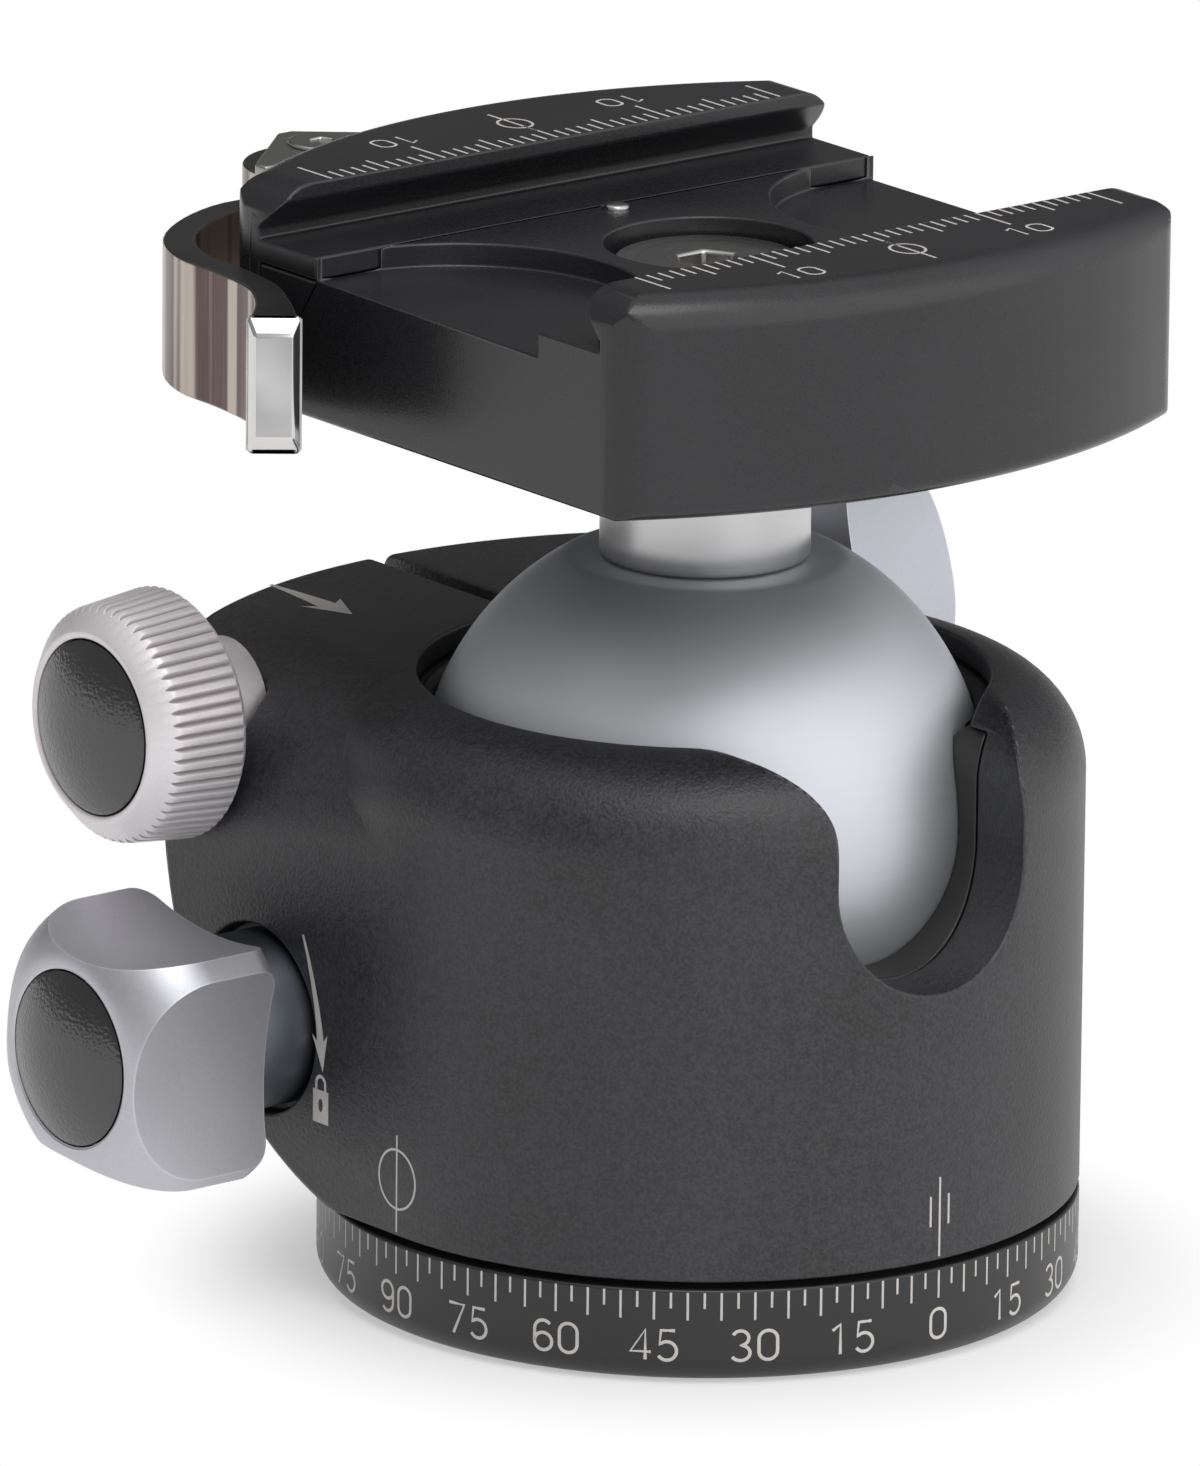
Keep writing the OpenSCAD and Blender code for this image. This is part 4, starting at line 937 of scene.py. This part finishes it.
make_lobed_knob("pan_knob", "pan_lock", "pan_knob_anodised", "pan_lock_knob", -1, PAN_Y, PAN_Z,
                PAN_BACK, PAN_FRONT, radius=11.2, cap=CAP_R, shoulder=6.0, scoop=25.0, waist=7.4,
                turn=-4.5, bore=PAN_BORE)
make_lobed_knob("ball_lock_knob", "ball_lock", "main_knob_anodised", "main_knob", 1, BOLT_Y, BOLT_Z,
                LOCK_BACK, LOCK_FRONT, radius=13.8, cap=LOCK_CAP_R, shoulder=8.1, scoop=22.0,
                waist=9.2, turn=70, bore=LOCK_BORE, heel=0.8,
                tail=[(LOCK_BORE, 22.4), (4.8, 22.4), (5.0, 22.6), (5.0, LOCK_BACK)])
make_ribbed_knob()
make_insert("pan_insert", "pan_lock", "pan_lock_cap", -1, PAN_Y, PAN_Z, PAN_FRONT, CAP_R)
make_insert("friction_insert", "friction_control", "friction_cap", -1, BOLT_Y, BOLT_Z,
            FRICTION_FRONT, CAP_R)
make_insert("ball_lock_insert", "ball_lock", "main_knob_cap", 1, BOLT_Y, BOLT_Z, LOCK_FRONT,
            LOCK_CAP_R)
make_collar("pan_collar", "head", "collar_blue_grey", "pan_lock_collar", -1, PAN_Y, PAN_Z,
            start=25.55, end=31.64, radius=6.3, bore=PAN_BORE)
make_collar("friction_bush", "head", "friction_knob_anodised", "friction_collar", -1, BOLT_Y, BOLT_Z,
            start=22.45, end=FRICTION_BACK, radius=4.6, bore=FRICTION_BORE)


def marks_piece(parts, name, body, slot):
    """Joins marks that ride on one body."""
    deselect()
    for part in parts:
        part.select_set(True)
    bpy.context.view_layer.objects.active = parts[0]
    if len(parts) > 1:
        bpy.ops.object.join()
    piece = bpy.context.object
    smooth(piece, 50)
    return dress(piece, name, body, slot, MATERIALS["mark_grey"])


marks_piece(make_ring_marks(), "degree_scale", "base", "ring_black")
marks_piece(make_index_marks() + make_lock_marks(), "housing_marks", "head", "body_black")
marks_piece([jaw_scale(upright(CLAMP_TOP))], "front_scale", "clamp", "clamp_black")
marks_piece([jaw_scale(turned_back(CLAMP_TOP))], "back_scale", "jaw", "clamp_black")


# ---- floor, light, camera --------------------------------------------------

def make_floor():
    """Pale floor that keeps the soft shadow near the head and fades to white further out."""
    deselect()
    bpy.ops.mesh.primitive_plane_add(size=6.0, location=(0, 0, 0))
    floor = bpy.context.object
    floor.name = "floor"
    settle(floor)
    material = bpy.data.materials.new("floor_white")
    material.use_nodes = True
    tree = material.node_tree
    shader = tree.nodes["Principled BSDF"]
    shader.inputs["Base Color"].default_value = (0.82, 0.82, 0.82, 1)
    shader.inputs["Roughness"].default_value = 0.9
    shader.inputs["Specular IOR Level"].default_value = 0.0
    place = node(tree, "ShaderNodeTexCoord").outputs["Object"]
    far_off = node(tree, "ShaderNodeVectorMath", [(0, place)], operation="LENGTH").outputs["Value"]
    rays = node(tree, "ShaderNodeLightPath")
    looked_at = math_node(tree, "MAXIMUM", rays.outputs["Is Camera Ray"],
                          rays.outputs["Is Glossy Ray"])
    seen = math_node(tree, "MULTIPLY", ramp(tree, far_off, 0.0262, 0.041, 0.45, 1.0), looked_at)
    white = node(tree, "ShaderNodeEmission", [("Color", (1, 1, 1, 1)), ("Strength", 1.0)])
    mixed = node(tree, "ShaderNodeMixShader", [(0, seen), (1, shader.outputs[0]),
                                               (2, white.outputs[0])])
    tree.links.new(mixed.outputs[0], tree.nodes["Material Output"].inputs["Surface"])
    floor.data.materials.append(material)


def ramp(tree, value, start, end, low, high):
    """Smooth change from low to high while value goes from start to end."""
    return node(tree, "ShaderNodeMapRange", [("Value", value), ("From Min", start), ("From Max", end),
                                             ("To Min", low), ("To Max", high)],
                interpolation_type="SMOOTHSTEP").outputs["Result"]


def make_world():
    """White all round for the camera. The object sees a white tent that is open behind it, dimmer
    on the left and bright on the right."""
    world = bpy.data.worlds.new("studio")
    bpy.context.scene.world = world
    world.use_nodes = True
    tree = world.node_tree
    backdrop = tree.nodes["Background"]
    direction = node(tree, "ShaderNodeTexCoord").outputs["Generated"]
    along = {}
    for name, axis in (("right", (0.784, -0.621, 0.0)), ("behind", (0.598, 0.754, 0.273)),
                       ("up", (0.0, 0.0, 1.0))):
        along[name] = node(tree, "ShaderNodeVectorMath", [(0, direction), (1, axis)],
                           operation="DOT_PRODUCT").outputs["Value"]
    sides = ramp(tree, along["right"], -0.8, 0.7, 0.30, 1.0)
    opening = ramp(tree, along["behind"], 0.45, 0.90, 1.0, 0.17)
    walls = math_node(tree, "MULTIPLY", sides, opening)
    overhead = ramp(tree, along["up"], 0.55, 0.95, 0.0, 1.0)
    tent = node(tree, "ShaderNodeMix", [("Factor", overhead), ("A", walls), ("B", 0.8)],
                data_type="FLOAT").outputs["Result"]
    rays = node(tree, "ShaderNodeLightPath")
    seen = node(tree, "ShaderNodeMix", [("Factor", rays.outputs["Is Camera Ray"]), ("A", tent),
                                        ("B", 1.0)], data_type="FLOAT")
    tree.links.new(seen.outputs["Result"], backdrop.inputs["Strength"])
    backdrop.inputs["Color"].default_value = (1, 1, 1, 1)


def make_lamp(name, place, aim, size, power):
    """Round soft lamp that points at aim."""
    deselect()
    bpy.ops.object.light_add(type="AREA", location=place)
    lamp = bpy.context.object
    lamp.name = name
    lamp.data.shape = "DISK"
    lamp.data.size = size
    lamp.data.energy = power
    lamp.rotation_euler = (Vector(aim) - Vector(place)).to_track_quat("-Z", "Y").to_euler()


def make_camera():
    """Long lens from the front left, a little above."""
    back = Vector((-0.59752, -0.75390, 0.27311)).normalized()
    level = Vector((0.78370, -0.62113, 0.0)).normalized()
    raised = back.cross(level)
    roll = math.radians(0.55)
    right = level * math.cos(roll) + raised * math.sin(roll)
    up = raised * math.cos(roll) - level * math.sin(roll)
    distance = 1.3779
    target = (right * (-10.153) + up * 45.971) * 0.68 * MM + Vector((0, 0, 6.9 * MM))
    deselect()
    bpy.ops.object.camera_add()
    camera = bpy.context.object
    camera.name = "camera"
    turn = Matrix((right, up, back)).transposed()
    camera.matrix_world = Matrix.Translation(target + back * distance) @ turn.to_4x4()
    camera.data.sensor_width = 36.0
    camera.data.sensor_fit = "HORIZONTAL"
    camera.data.lens = 585.9
    camera.data.clip_start = 0.01
    camera.data.clip_end = 20.0
    bpy.context.scene.camera = camera


make_floor()
make_world()
make_lamp("key", (0.30, -1.50, 0.50), (0, 0, 0.04), 2.8, 11.0)
make_lamp("top", (-0.22, -0.40, 1.05), (0, 0, 0.06), 0.7, 4.2)
make_camera()
bpy.context.scene.view_settings.view_transform = "Standard"
